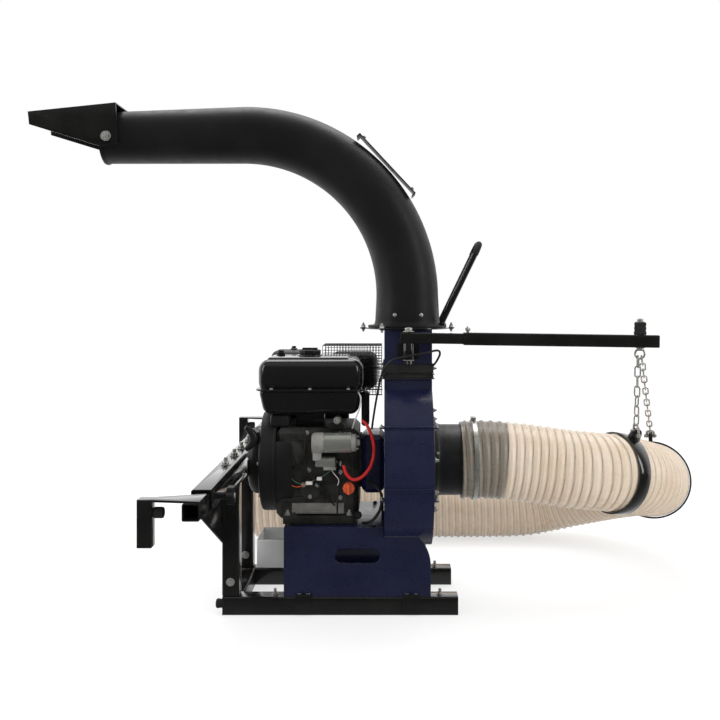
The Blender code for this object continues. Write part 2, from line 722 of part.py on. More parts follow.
def engine():
    right, left = ENGINE_RIGHT, ENGINE_LEFT
    case = box((left, CASE_FRONT, CASE_BOTTOM), (right - 0.008, CASE_REAR, CASE_TOP), 0.014)
    cover = along_shaft(right - 0.012, right - GAP, 0.078, 32)
    feet = [
        box((left + 0.020, side - 0.022, BASE_TOP + GAP), (right - 0.020, side + 0.022, CASE_BOTTOM + 0.012), 0.002)
        for side in (-0.100, 0.100)
    ]
    shaft_bore = along_shaft(right - SHAFT_IN_ENGINE - 0.003, right + 0.01, SHAFT_R + GAP * 2, 24)
    neck = rod((DIPSTICK_X, CASE_FRONT + 0.01, DIPSTICK_Z), (DIPSTICK_X, CASE_FRONT - 0.014, DIPSTICK_Z), 0.020, 14)
    dip_bore = rod((DIPSTICK_X, CASE_FRONT - 0.05, DIPSTICK_Z), (DIPSTICK_X, CASE_FRONT + 0.07, DIPSTICK_Z), 0.0095, 12)
    boss = rod((-0.131, CASE_FRONT + 0.01, 0.524), (-0.131, CASE_FRONT - 0.018, 0.524), 0.011)
    stem = box((-0.140, CASE_FRONT, CASE_TOP - 0.02), (-0.122, CASE_FRONT + 0.012, 0.526))
    solenoid_y = CASE_FRONT - 0.020
    solenoid = [
        rod((-0.188, solenoid_y, 0.412), (-0.132, solenoid_y, 0.412), 0.014, 12),
        rod((-0.134, solenoid_y, 0.412), (-0.120, solenoid_y, 0.412), 0.004, 8),
        box((-0.175, solenoid_y, 0.404), (-0.150, CASE_FRONT + 0.002, 0.420)),
    ]
    piece("crankcase", ALLOY, [case, cover, *feet, neck, stem, boss, *solenoid], [shaft_bore, dip_bore])
    cylinder()
    adapter = box(
        (right, -ADAPTER_HALF, SHAFT_Z - ADAPTER_HALF),
        (HOUSING_LEFT - GAP, ADAPTER_HALF, SHAFT_Z + ADAPTER_HALF),
        0.012,
    )
    room = along_shaft(right - 0.01, HOUSING_LEFT + 0.01, 0.060, 32)
    piece("engine_adapter", NAVY, [adapter], [room])
    shroud_and_recoil()
    top_gear()
    starter()
    controls()


def cylinder():
    """The cylinder leans to the rear, so its parts are built level along +Y and then turned up about the shaft."""
    centre = (0, 0, SHAFT_Z)
    x, start = CYLINDER_X, 0.135
    fins_end = start + FINS * FIN_PITCH
    core = box((x - 0.052, start - GAP, SHAFT_Z - 0.052), (x + 0.052, fins_end + 0.004, SHAFT_Z + 0.052))
    shapes = [core]
    for i in range(FINS + 1):
        y = start + i * FIN_PITCH
        shapes.append(box((x - 0.074, y, SHAFT_Z - 0.070), (x + 0.074, y + 0.0035, SHAFT_Z + 0.070)))
    head = box((x - 0.066, fins_end + 0.003, SHAFT_Z - 0.060), (x + 0.066, fins_end + 0.030, SHAFT_Z + 0.060), 0.006)
    shapes.append(head)
    for shape in shapes:
        turned(shape, CYLINDER_TILT, "X", centre)
    # The case's rear wall is upright, so the cylinder's foot is cut along it
    cut = box((x - 0.1, 0, 0.2), (x + 0.1, CASE_REAR + GAP, 0.6))
    piece("cylinder", ALLOY, shapes, [cut])
    cover = box(
        (x - 0.058, fins_end + 0.030 + GAP, SHAFT_Z - 0.050), (x + 0.058, fins_end + 0.062, SHAFT_Z + 0.050), 0.010, 2
    )
    piece("valve_cover", BLACK, [turned(cover, CYLINDER_TILT, "X", centre)])


def shroud_and_recoil():
    right, left = ENGINE_LEFT - GAP, SHROUD_LEFT
    outline = [
        *arc((0, SHAFT_Z), SHROUD_R, 100, 320, 24),
        (0.205, SHAFT_Z + 0.004),
        (0.175, SHAFT_Z + 0.140),
        (0.060, SHAFT_Z + 0.140),
    ]
    mouth = along_shaft(left - 0.01, left + 0.030, RECOIL_R - 0.010, 32)
    piece("blower_shroud", BLACK, [plate(outline, "X", left, right)], [mouth])
    profile = [
        (0.0, RECOIL_LENGTH),
        (RECOIL_R * 0.62, RECOIL_LENGTH),
        (RECOIL_R * 0.86, RECOIL_LENGTH * 0.88),
        (RECOIL_R, RECOIL_LENGTH * 0.5),
        (RECOIL_R, GAP),
        (0.0, GAP),
    ]
    cover = lathe(profile, (left, 0, SHAFT_Z), (-1, 0, 0), 24)
    grip_x, grip_z = left - RECOIL_LENGTH * 0.45, SHAFT_Z + 0.079
    chin = box((grip_x - 0.012, -0.088, grip_z - 0.014), (left - 2 * GAP, -0.030, grip_z + 0.012))
    bore = rod((grip_x, -0.2, grip_z), (grip_x, -0.040, grip_z), 0.0035, 12)
    slots = []
    for i in range(6):
        slot = box((left - RECOIL_LENGTH - 0.01, -0.004, 0.030), (left - RECOIL_LENGTH + 0.006, 0.004, 0.056))
        slots.append(turned(slot, math.pi / 3 * (i + 0.4), "X", (0, 0, 0)))
        slots[-1].data.transform(Matrix.Translation((0, 0, SHAFT_Z)))
    piece("recoil_cover", BLACK, [cover, chin], [bore, *slots])
    pull = pivot("recoil_axis", (grip_x, -0.100, grip_z))
    bar = rod((grip_x, -0.118, grip_z - 0.026), (grip_x, -0.118, grip_z + 0.026), 0.0115, 16)
    horn = rod((grip_x, -0.090, grip_z), (grip_x, -0.112, grip_z), 0.007, 16, 0.011)
    hole = rod((grip_x, -0.080, grip_z), (grip_x, -0.104, grip_z), 0.0029, 12)
    piece("recoil_grip", PLASTIC, [bar, horn], [hole], pull)
    rope = rod((grip_x, -0.042, grip_z), (grip_x, -0.103, grip_z), 0.0025, 10)
    piece("recoil_rope", RUBBER, [rope], on=pull)


def top_gear():
    z = TANK_SEAM
    lower = box((TANK_LEFT, TANK_FRONT, TANK_BOTTOM), (TANK_RIGHT, TANK_REAR, z + 0.01), 0.016, 1)
    upper = box((TANK_LEFT, TANK_FRONT, z - 0.03), (TANK_RIGHT, TANK_REAR, TANK_TOP), 0.034, 2)
    rim = rounded((TANK_LEFT - 0.007, TANK_FRONT - 0.007), (TANK_RIGHT + 0.007, TANK_REAR + 0.007), 0.034, 4)
    seam = plate(rim, "Z", z - 0.0025, z + 0.0025)
    neck = rod((CAP_X, CAP_Y, TANK_TOP - 0.01), (CAP_X, CAP_Y, TANK_TOP + 0.004), CAP_R * 0.72, 24)
    bore = rod((CAP_X, CAP_Y, TANK_TOP - 0.035), (CAP_X, CAP_Y, TANK_TOP + 0.02), CAP_R * 0.6, 24)
    stay = box((-0.250, -0.060, CASE_TOP + GAP), (-0.170, 0.020, TANK_BOTTOM + 0.004))
    gauge = rod((GAUGE_X, 0.010, TANK_TOP - 0.004), (GAUGE_X, 0.010, TANK_TOP + 0.016), 0.012, 16, 0.009)
    piece("fuel_tank", BLACK, [lower, upper, seam, neck, stay, gauge], [bore])
    cap_axis = pivot("fuel_cap_axis", (CAP_X, CAP_Y, TANK_TOP))
    top = TANK_TOP + GAP + CAP_HIGH
    profile = [
        (0.0, top),
        (CAP_R * 0.82, top),
        (CAP_R, top - 0.004),
        (CAP_R, TANK_TOP + GAP),
        (CAP_R * 0.72 + SLIP, TANK_TOP + GAP),
        (CAP_R * 0.72 + SLIP, TANK_TOP + 0.004 + GAP),
        (CAP_R * 0.6 - SLIP, TANK_TOP + 0.004 + GAP),
        (CAP_R * 0.6 - SLIP, TANK_TOP - 0.008),
        (0.0, TANK_TOP - 0.008),
    ]
    piece("fuel_cap", PLASTIC, [lathe(profile, (CAP_X, CAP_Y, 0), (0, 0, 1), 20)], on=cap_axis)
    filter_box = box((-0.345, 0.118, 0.572), (-0.215, 0.238, 0.700), 0.018, 2)
    lid = box((-0.350, 0.113, 0.618), (-0.210, 0.243, 0.626), 0.002)
    piece("air_cleaner", PLASTIC, [filter_box, lid])
    bowl = rod((-0.280, 0.175, 0.470), (-0.280, 0.175, 0.510), 0.016, 14)
    body = box((-0.297, 0.145, 0.505), (-0.263, 0.205, 0.572 - GAP), 0.004)
    piece("carburettor", ALLOY, [body, bowl])
    muffler = box((-0.165, 0.108, 0.584), (-0.025, 0.218, 0.695), 0.020, 2)
    pipe = rod((-0.120, 0.165, 0.600), (-0.120, 0.165, 0.560), 0.016, 16)
    outlet = rod((-0.060, 0.200, 0.655), (-0.060, 0.240, 0.655), 0.011, 16)
    piece("muffler", STEEL, [muffler, pipe, outlet])
    guard()


def guard():
    """Bars bent over the muffler in arches, welded to level bars."""
    left, right, front, rear, low, high = GUARD_LEFT, GUARD_RIGHT, 0.100, 0.250, 0.570, 0.716
    half, shapes = GUARD_BAR / 2, []
    for i in range(GUARD_ARCHES):
        x = left + (right - left) * i / (GUARD_ARCHES - 1)
        outline = [
            (front - half, low), (front - half, high + half), (rear + half, high + half), (rear + half, low),
            (rear - half, low), (rear - half, high - half), (front + half, high - half), (front + half, low),
        ]
        shapes.append(plate(outline, "X", x - half, x + half))
    level, past = half * 0.8, 0.004
    for y, z in ((front, 0.650), (0.150, high), (0.200, high), (rear, 0.650)):
        shapes.append(box((left - past, y - level, z - level), (right + past, y + level, z + level)))
    piece("muffler_guard", STEEL, shapes)


def starter():
    y = CASE_FRONT - STARTER_R - 0.006
    profile = [
        (0.0, 0.130), (0.010, 0.130), (0.012, 0.122), (STARTER_R * 0.9, 0.120), (STARTER_R * 0.9, 0.106),
        (STARTER_R, 0.104), (STARTER_R, 0.034), (STARTER_R * 1.02, 0.030), (STARTER_R * 1.02, 0.0), (0.0, 0.0),
    ]
    motor = lathe(profile, (-0.198, y, STARTER_Z), (1, 0, 0), 16)
    bracket = box((-0.198, y, STARTER_Z - 0.030), (-0.186, CASE_FRONT - GAP, STARTER_Z + 0.022), 0.002)
    piece("starter_motor", STEEL, [motor, bracket])


def controls():
    turn = pivot("dipstick_axis", (DIPSTICK_X, CASE_FRONT - 0.014, DIPSTICK_Z))
    face = CASE_FRONT - 0.014 - GAP
    cap = rod((DIPSTICK_X, face, DIPSTICK_Z), (DIPSTICK_X, face - 0.010, DIPSTICK_Z), DIPSTICK_R, 14)
    grip = box((DIPSTICK_X - 0.0035, face - 0.024, DIPSTICK_Z - 0.015), (DIPSTICK_X + 0.0035, face - 0.009, DIPSTICK_Z + 0.015), 0.001)
    stem = rod((DIPSTICK_X, face - 0.001, DIPSTICK_Z), (DIPSTICK_X, face + 0.060, DIPSTICK_Z), 0.0075, 12)
    piece("oil_dipstick", ORANGE, [cap, grip, stem], on=turn)
    for name, x, y, z, reach in (("throttle", -0.325, 0.216, 0.545, 0.045), ("choke", -0.280, 0.216, 0.535, 0.030)):
        axis = pivot(f"{name}_axis", (x, y, z))
        hub = rod((x, y, z - 0.004), (x, y, z + 0.004), 0.008)
        arm = box((x - 0.004, y, z - 0.0015), (x + 0.004, y + reach, z + 0.0015))
        tip = rod((x, y + reach, z - 0.003), (x, y + reach, z + 0.012), 0.006, 8)
        piece(f"{name}_lever", PLASTIC, [hub, arm, tip], on=axis)


def chute_line():
    """The chute's centre line with its radius at each point."""
    centre_x = CHUTE_X - BEND_R
    rings = [((CHUTE_X, 0, CHUTE_FOOT), CHUTE_BASE_R), ((CHUTE_X, 0, BEND_START), CHUTE_BASE_R * 0.955)]
    for i in range(1, BEND_STEPS + 1):
        angle = math.pi / 2 * i / BEND_STEPS
        radius = CHUTE_BASE_R * 0.955 + (CHUTE_BEND_R - CHUTE_BASE_R * 0.955) * i / BEND_STEPS
        rings.append(((centre_x + BEND_R * math.cos(angle), 0, BEND_START + BEND_R * math.sin(angle)), radius))
    top = BEND_START + BEND_R
    rings.append(((CHUTE_END, 0, top - 0.008), CHUTE_END_R))
    return rings


def chute():
    spin = pivot("chute_axis", (CHUTE_X, 0, CHUTE_FOOT))
    rings = chute_line()
    points = [Vector(p) for p, _ in rings]
    outer = tube(points, 1, 5, [r for _, r in rings])
    inner_points = [points[0] - Vector((0, 0, 0.01)), *points, points[-1] + Vector((-0.01, 0, 0))]
    inner_radii = [r - CHUTE_WALL for _, r in (rings[0], *rings, rings[-1])]
    inner = tube(inner_points, 1, 5, inner_radii)
    flange = rod((CHUTE_X, 0, CHUTE_FOOT), (CHUTE_X, 0, CHUTE_FOOT + CHUTE_FLANGE_T), CHUTE_FLANGE_R, 32)
    piece("chute", PLASTIC, [outer, flange], [inner], spin)
    hatch(spin)
    handle(spin)
    hood(spin)


def hatch(spin):
    """The clean-out plate lies along the outside of the bend, on two feet."""
    angle = HATCH_ANGLE
    out = Vector((math.cos(angle), 0, math.sin(angle)))
    along = Vector((-math.sin(angle), 0, math.cos(angle)))
    radius = CHUTE_BASE_R * 0.955 + (CHUTE_BEND_R - CHUTE_BASE_R * 0.955) * angle / (math.pi / 2)
    surface = Vector((CHUTE_X - BEND_R, 0, BEND_START)) + out * (BEND_R + radius)
    turn = Matrix.Translation(surface) @ Matrix((along, (0, -1, 0), out)).transposed().to_4x4()
    half, top = HATCH_LONG / 2, 0.006
    shapes = [
        box((-half, -HATCH_WIDE / 2, top), (half, HATCH_WIDE / 2, top + 0.003)),
        box((-half, -HATCH_WIDE / 2, -0.004), (-half + 0.003, HATCH_WIDE / 2, top + 0.002)),
        box((half - 0.003, -HATCH_WIDE / 2, -0.004), (half, HATCH_WIDE / 2, top + 0.002)),
    ]
    for shape in shapes:
        shape.data.transform(turn)
    rings = chute_line()
    around = tube([Vector(p) for p, _ in rings], 1, 5, [r + GAP for _, r in rings])
    piece("chute_hatch", PLASTIC, shapes, [around], spin)


def handle(spin):
    foot, top = CHUTE_X + HANDLE_FOOT, CHUTE_FOOT + CHUTE_FLANGE_T + GAP
    bend = 0.030
    path = []
    for side in (-1, 1):
        leg = [(foot, side * HANDLE_HALF, top), (foot, side * HANDLE_HALF, top + 0.012)]
        head = []
        for i in range(5):
            angle = math.pi / 2 * i / 4
            y = side * (HANDLE_HALF - bend * (1 - math.cos(angle)))
            rise = HANDLE_HIGH - bend * (1 - math.sin(angle))
            head.append((foot + HANDLE_OUT * rise / HANDLE_HIGH, y, top + rise))
        path += (leg + head)[::-side] if side < 0 else (leg + head)[::-1]
    loop = tube(path, HANDLE_R, 2)
    feet = [
        rod((foot, side * HANDLE_HALF, top), (foot, side * HANDLE_HALF, top + 0.006), 0.011, 12) for side in (-1, 1)
    ]
    piece("turn_handle", BLACK, [loop, *feet], on=spin)


def hood(spin):
    tilt = pivot("deflector_axis", (PIVOT_X, 0, PIVOT_Z), spin)
    chute_top = BEND_START + BEND_R - 0.008 + CHUTE_END_R - PIVOT_Z
    reach = math.hypot(PIVOT_X - CHUTE_END, chute_top) + 0.0015
    x, z = PIVOT_X, PIVOT_Z
    slope = math.atan2(0.025, 0.242)
    normal = Vector((-math.sin(slope), math.cos(slope)))
    along = Vector((-math.cos(slope), -math.sin(slope)))
    foot = Vector((x, z)) + normal * (reach + HOOD_T)
    back, tip = foot - along * 0.034, foot + along * 0.212
    side = [
        tuple(back), tuple(tip), (tip.x + 0.004, tip.y - 0.036), (x - 0.018, z - 0.027), (x + 0.030, z - 0.020),
    ]
    inner = [foot - along * 0.05, foot + along * 0.25, foot + along * 0.25 - normal * 0.3, foot - along * 0.05 - normal * 0.3]
    inner = [tuple(p - normal * HOOD_T) for p in inner]
    shell = plate(side, "Y", -HOOD_HALF - HOOD_T, HOOD_HALF + HOOD_T)
    room = plate(inner, "Y", -HOOD_HALF, HOOD_HALF)

    bolts = []
    for way in (-1, 1):
        out = way * (HOOD_HALF + HOOD_T)
        bolts.append(rod((x, way * (CHUTE_END_R + 0.002), z), (x, out + way * 0.010, z), 0.005, 16))
        bolts.append(rod((x, out - way * HOOD_T / 2, z), (x, out + way * 0.008, z), 0.011, 6))
    piece("deflector_hood", BLACK, [cut_shape(shell, room), *bolts], on=tilt)


SLEEVE_TUBE = BOOM_TUBE + 2 * SLEEVE_WALL + 0.0012
BOOM_PIN = (BOOM_X, BOOM_Y, BOOM_Z)
EYE_DROP = SLEEVE_TUBE / 2 + EYE_R + EYE_WIRE + SLIP


def drooped(shapes):
    for shape in shapes:
        turned(shape, BOOM_DROOP, "Y", BOOM_PIN)
    return shapes


def boom():
    swing = pivot("boom_axis", BOOM_PIN)
    top = BOOM_Z - BOOM_TUBE / 2 - 0.0006
    low = top - BARREL_HIGH
    barrel = rod((BOOM_X, BOOM_Y, low), (BOOM_X, BOOM_Y, top), BARREL_R, 16)
    back = -DUCT_HALF - GAP
    web = box((BOOM_X - 0.006, BOOM_Y + 0.008, low + 0.004), (BOOM_X + 0.006, back - 0.002, top - 0.004))
    pad = box((BOOM_X - 0.030, back - 0.004, low + 0.001), (BOOM_X + 0.030, back, top - 0.001))
    bore = rod((BOOM_X, BOOM_Y, low - 0.01), (BOOM_X, BOOM_Y, top + 0.01), PIN_R + 0.0005, 16)
    piece("boom_bracket", NAVY, [barrel, web, pad], [bore])
    outside, inside = square_tube(
        "X", (BOOM_Y, BOOM_Z), BOOM_TUBE, BOOM_LEFT, SLEEVE_LEFT + BOOM_OVERLAP, SLEEVE_WALL
    )
    arm = cut_shape(*drooped([outside, inside]))
    pin = rod((BOOM_X, BOOM_Y, low - 0.014), (BOOM_X, BOOM_Y, BOOM_Z + BOOM_TUBE / 2 + 0.002), PIN_R, 16)
    nut = rod((BOOM_X, BOOM_Y, low - 0.009), (BOOM_X, BOOM_Y, low - 0.001), 0.0125, 6)
    piece("boom_arm", BLACK, [arm, pin, nut], on=swing)
    outside, inside = square_tube("X", (BOOM_Y, BOOM_Z), SLEEVE_TUBE, SLEEVE_LEFT, SLEEVE_RIGHT, SLEEVE_WALL)
    half = SLEEVE_TUBE / 2
    cap = box((SLEEVE_RIGHT - 0.004, BOOM_Y - half + 0.001, BOOM_Z - half + 0.001), (SLEEVE_RIGHT + 0.002, BOOM_Y + half - 0.001, BOOM_Z + half - 0.001))
    lock_x = SLEEVE_LEFT + 0.012
    eye_hole = rod((EYE_X, BOOM_Y, BOOM_Z - 0.05), (EYE_X, BOOM_Y, BOOM_Z + 0.05), 0.0055, 8)
    lock_hole = rod((lock_x, BOOM_Y, BOOM_Z + 0.005), (lock_x, BOOM_Y, BOOM_Z + 0.05), 0.0046, 12)
    outside, inside, cap, eye_hole, lock_hole = drooped([outside, inside, cap, eye_hole, lock_hole])
    sleeve = cut_shape(outside, inside)
    piece("boom_sleeve", BLACK, [sleeve, cap], [eye_hole, lock_hole], swing)
    face = BOOM_Z + half + GAP
    screw = [
        rod((lock_x, BOOM_Y, BOOM_Z + BOOM_TUBE / 2 + GAP), (lock_x, BOOM_Y, face + 0.016), 0.004, 8),
        rod((lock_x, BOOM_Y, face + 0.004), (lock_x, BOOM_Y, face + 0.012), 0.0075, 6),
    ]
    lock_axis = pivot("boom_lock_axis", (lock_x, BOOM_Y, BOOM_Z), swing)
    piece("boom_lock_screw", ZINC, drooped(screw), on=lock_axis)
    buffer = rod((EYE_X, BOOM_Y, face), (EYE_X, BOOM_Y, face + 0.034), 0.017, 24)
    bore = rod((EYE_X, BOOM_Y, face - 0.01), (EYE_X, BOOM_Y, face + 0.04), 0.0055, 8)
    buffer, bore = drooped([buffer, bore])
    piece("boom_end_buffer", RUBBER, [buffer], [bore], swing)
    eye_z = BOOM_Z - EYE_DROP
    ring = tube([(EYE_X + x, BOOM_Y, eye_z + z) for x, z in arc((0, 0), EYE_R, 0, 337.5, 15)], EYE_WIRE, 2, cyclic=True)
    eye = [
        ring,
        rod((EYE_X, BOOM_Y, eye_z + EYE_R), (EYE_X, BOOM_Y, face + 0.044), 0.005, 12),
        rod((EYE_X, BOOM_Y, face + 0.034 + GAP), (EYE_X, BOOM_Y, face + 0.040), 0.0095, 6),
    ]
    piece("boom_eye_bolt", ZINC, drooped(eye), on=swing)
    return swing


def hose_route():
    """The hose's centre line: level out of the collar, round the bend as it sinks, and back along the floor."""
    bend = (HOSE_BEND_X, HOSE_BEND_R)
    heights = ((15, 0.358), (30, 0.345), (50, 0.318), (70, 0.293), (90, 0.268), (110, 0.240), (130, 0.205), (150, 0.168), (170, 0.134))
    points = [(HOSE_START, 0, SHAFT_Z), (HOSE_START + 0.088, 0, SHAFT_Z), (0.420, 0, 0.383), (HOSE_BEND_X, 0, 0.368)]
    for degrees, z in heights:
        angle = math.radians(degrees)
        points.append((bend[0] + HOSE_BEND_R * math.sin(angle), bend[1] - HOSE_BEND_R * math.cos(angle), z))
    floor = HOSE_R + GAP
    far = bend[1] + HOSE_BEND_R
    points += [(0.480, far, floor + 0.004), (0.300, far, floor), (0.100, far, floor), (-0.180, far, floor), (HOSE_LEFT, far, floor)]
    return points


def hose():
    rib = smooth_path(hose_route(), RIB_PITCH / 2)
    radii = [HOSE_R if i % 2 else HOSE_VALLEY_R for i in range(len(rib))]
    outer = tube(rib, 1, HOSE_SIDES, radii)
    bore = smooth_path(hose_route(), 0.075)
    bore = [2 * bore[0] - bore[1], *bore, 2 * bore[-1] - bore[-2]]
    inner = tube(bore, HOSE_BORE_R, HOSE_SIDES)
    room = (COLLAR_R + GAP) / math.cos(math.pi / 24)
    fit = along_shaft(HOSE_START - 0.01, COLLAR_LEFT + COLLAR_LENGTH + 0.005, room, 24)
    piece("suction_hose", CREAM, [outer], [inner, fit])
    gap = min((a - b).length for i, a in enumerate(rib) for b in rib[i + 40 :]) - 2 * HOSE_R
    print(f"hose: {len(rib) // 2} ribs, least gap to itself {gap * 1000:.0f} mm")
    fit = HOSE_R + BAND_SLACK
    x = HOSE_START + 0.038
    profile = [(fit, x + 0.006), (fit, x - 0.006), (fit + 0.0015, x - 0.006), (fit + 0.0015, x + 0.006)]
    band = lathe(profile, (0, 0, SHAFT_Z), (1, 0, 0), 26, closed=True)
    screw = box((x - 0.006, -0.012, SHAFT_Z + fit + 0.0005), (x + 0.006, 0.012, SHAFT_Z + fit + 0.010), 0.002)
    piece("hose_clamp", ZINC, [band, screw])


def oriented(along, up, place):
    """A matrix whose local X runs along and whose local Z is as near up as it can be."""
    x = Vector(along).normalized()
    y = Vector(up).cross(x).normalized()
    return Matrix.Translation(place) @ Matrix((x, y, x.cross(y))).transposed().to_4x4()


def straps_and_chains(swing):
    path = smooth_path(hose_route(), 0.005)
    fit = HOSE_R + BAND_SLACK
    eye = Vector((EYE_X, BOOM_Y, BOOM_Z - EYE_DROP))
    droop = Matrix.Translation(BOOM_PIN) @ Matrix.Rotation(BOOM_DROOP, 4, "Y") @ Matrix.Translation(BOOM_PIN).inverted()
    eye = droop @ eye
    for number, (angle, offset) in enumerate(zip(STRAP_ANGLES, (-0.0050, 0.0050)), 1):
        want = (HOSE_BEND_X + HOSE_BEND_R * math.sin(angle), HOSE_BEND_R * (1 - math.cos(angle)))
        near = min(range(1, len(path) - 1), key=lambda i: math.dist(path[i][:2], want))
        tangent = (path[near + 1] - path[near - 1]).normalized()
        wire = eye + Vector((offset, 0, -math.sqrt(EYE_R**2 - offset**2)))
        pull = wire - path[near]
        up = (pull - tangent * pull.dot(tangent)).normalized()
        across = tangent.cross(up)
        hole = path[near] + up * (fit + STRAP_T + LUG_HIGH - LUG_HOLE_DOWN)
        way = (hole - wire).normalized()
        bow = hole - way * SHACKLE_LONG
        contact = EYE_WIRE + LINK_WIRE + CHAIN_SLACK
        bow_contact = SHACKLE_WIRE + LINK_WIRE - LINK_BITE
        links = chain(wire - way * contact, bow + way * bow_contact, across)
        half = LUG_T / 2 + SHACKLE_ROOM + SHACKLE_WIRE
        arch = []
        for i in range(7):
            turn = math.pi * i / 6
            arch.append(bow + way * half * (1 - math.sin(turn)) + across * half * math.cos(turn))
        legs = [hole + across * half + way * 0.002, *arch, hole - across * half + way * 0.002]
        pin_half = across * (half + 0.007)
        pin = rod(hole - pin_half, hole + pin_half, SHACKLE_PIN_R, 12)
        piece(f"chain_{number}", ZINC, [*links, tube(legs, SHACKLE_WIRE, 2), pin], on=swing)
        profile = [
            (fit, STRAP_WIDE / 2), (fit, -STRAP_WIDE / 2), (fit + STRAP_T, -STRAP_WIDE / 2), (fit + STRAP_T, STRAP_WIDE / 2),
        ]
        band = lathe(profile, path[near], tangent, 26, closed=True)
        lug_place = oriented(across, up, path[near])
        top = fit + STRAP_T + LUG_HIGH
        lug = box((-LUG_T / 2, -LUG_WIDE / 2, fit + STRAP_T / 2), (LUG_T / 2, LUG_WIDE / 2, top), 0.002)
        lug.data.transform(lug_place)
        bore = rod(hole - across * LUG_T, hole + across * LUG_T, LUG_HOLE_R, 12)
        piece(f"hose_strap_{number}", BLACK, [band, lug], [bore], swing)


def chain(start, end, last):
    """Links from one end wire's centre to the other, each about at right angles to the one before.

    The first link's flat side faces X. The chain twists evenly, so that the last link's faces along last.
    """
    along = end - start
    wire = LINK_WIRE
    count = max(3, round((along.length - 2 * wire) / LINK_PITCH))
    pitch = (along.length - 2 * wire + LINK_BITE) / count
    along.normalize()
    first = Vector((1, 0, 0))
    first = (first - along * first.dot(along)).normalized()
    quarter = math.pi / 2
    between = math.atan2(along.dot(first.cross(last)), first.dot(last))
    rest = (between - (count - 1) * quarter + quarter) % math.pi - quarter
    turn_each = quarter + rest / (count - 1)
    half_long, half_wide = pitch / 2 + wire - LINK_BITE / 2, LINK_WIDE / 2 - wire
    shapes = []
    for i in range(count):
        middle = start + along * (half_long + pitch * i)
        normal = Matrix.Rotation(turn_each * i, 3, along) @ first
        side = along.cross(normal)
        points = []
        for end_way in (1, -1):
            for k in range(4):
                turn = math.pi / 2 - math.pi * k / 3
                reach = half_long - half_wide + half_wide * math.cos(turn)
                points.append(middle + end_way * (along * reach + side * half_wide * math.sin(turn)))
        shapes.append(tube(points, wire, LINK_SIDES, cyclic=True))
    return shapes


def cables():
    routes = (
        ("starter_cable", RED, 0.0045, (
            (-0.112, -0.150, 0.404), (-0.104, -0.162, 0.385), (-0.085, -0.166, 0.370), (-0.060, -0.160, 0.378),
            (-0.038, -0.150, 0.405), (-0.030, -0.140, 0.443), (-0.036, -0.128, 0.480), (-0.050, -0.118, 0.510),
            (-0.062, -0.105, 0.520))),
        ("ground_cable", RUBBER, 0.004, (
            (-0.045, -0.096, 0.352), (-0.028, -0.118, 0.345), (-0.010, -0.146, 0.326), (-0.012, -0.160, 0.292),
            (-0.030, -0.158, 0.262), (-0.048, -0.146, 0.249), (-0.060, -0.128, 0.2445))),
        ("kill_switch_wire", RUBBER, 0.003, (
            (-0.036, -0.122, 0.500), (-0.032, -0.132, 0.530), (-0.024, -0.138, 0.580), (-0.014, -0.140, 0.630),
            (-0.004, -0.146, 0.662), (0.020, -0.158, 0.690), (0.063, -0.164, 0.702), (0.108, -0.158, 0.710),
            (0.142, -0.142, 0.716), (0.150, -0.130, 0.706), (0.142, -0.118, 0.686), (0.132, -0.112, 0.672))),
    )
    for name, look, radius, route in routes:
        piece(name, look, [tube(smooth_path(route, radius * 6), radius, 2)])


rails()
posts()
beam()
hooks()
base()
blower()
impeller()
engine()
chute()
arm_swing = boom()
hose()
straps_and_chains(arm_swing)
cables()

# The origin goes under the middle of the whole
reach = [obj.bound_box[corner] for obj in PARTS.objects if obj.type == "MESH" for corner in (0, 6)]
WHOLE.location = [-(min(p[i] for p in reach) + max(p[i] for p in reach)) / 2 for i in (0, 1)] + [0]
bpy.context.view_layer.update()
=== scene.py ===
import math

import bpy
from mathutils import Matrix, Vector


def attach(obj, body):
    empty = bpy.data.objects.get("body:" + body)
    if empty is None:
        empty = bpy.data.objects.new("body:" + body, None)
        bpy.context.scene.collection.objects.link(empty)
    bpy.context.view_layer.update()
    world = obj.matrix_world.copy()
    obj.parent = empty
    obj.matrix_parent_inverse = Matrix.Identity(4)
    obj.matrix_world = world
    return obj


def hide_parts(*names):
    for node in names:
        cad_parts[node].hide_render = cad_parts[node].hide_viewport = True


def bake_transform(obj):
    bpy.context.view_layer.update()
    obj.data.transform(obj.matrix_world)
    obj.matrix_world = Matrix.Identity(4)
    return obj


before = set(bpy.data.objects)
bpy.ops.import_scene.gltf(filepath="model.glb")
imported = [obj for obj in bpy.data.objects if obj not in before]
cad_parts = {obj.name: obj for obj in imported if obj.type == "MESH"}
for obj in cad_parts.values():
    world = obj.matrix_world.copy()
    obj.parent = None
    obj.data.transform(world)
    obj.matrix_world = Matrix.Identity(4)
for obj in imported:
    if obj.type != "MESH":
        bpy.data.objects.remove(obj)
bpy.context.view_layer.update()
bpy.ops.object.select_all(action="DESELECT")

# The crankshaft's line in the row frame. Every place below is written about it, with the floor at Z = 0
LINE_X = 0.018578
LINE_Y = -0.094
SHAFT_Z = 0.395
GAP = 0.0003
MERGE = 0.00002

# Camera, as the photograph was taken
FOCAL_PIXELS = 885
IMAGE_PIXELS = 720
SENSOR = 36
CAMERA_BACK = -2.545
CAMERA_HIGH = 0.853
HORIZON = (385, 300)

# Frame and base
RAIL_Y = 0.128
RAIL_LEFT = -0.437
TUBE = 0.050
BEAM_X = -0.423
BEAM_Z = 0.390
SIDES = (("front", -1, -0.502), ("rear", 1, 0.690))
BASE_LEFT = -0.274
BASE_RIGHT = 0.124
BASE_TOP = 0.238
BASE_OUT = 0.150
SHEET_T = 0.003
CLAMP_XS = (-0.221, 0.071)

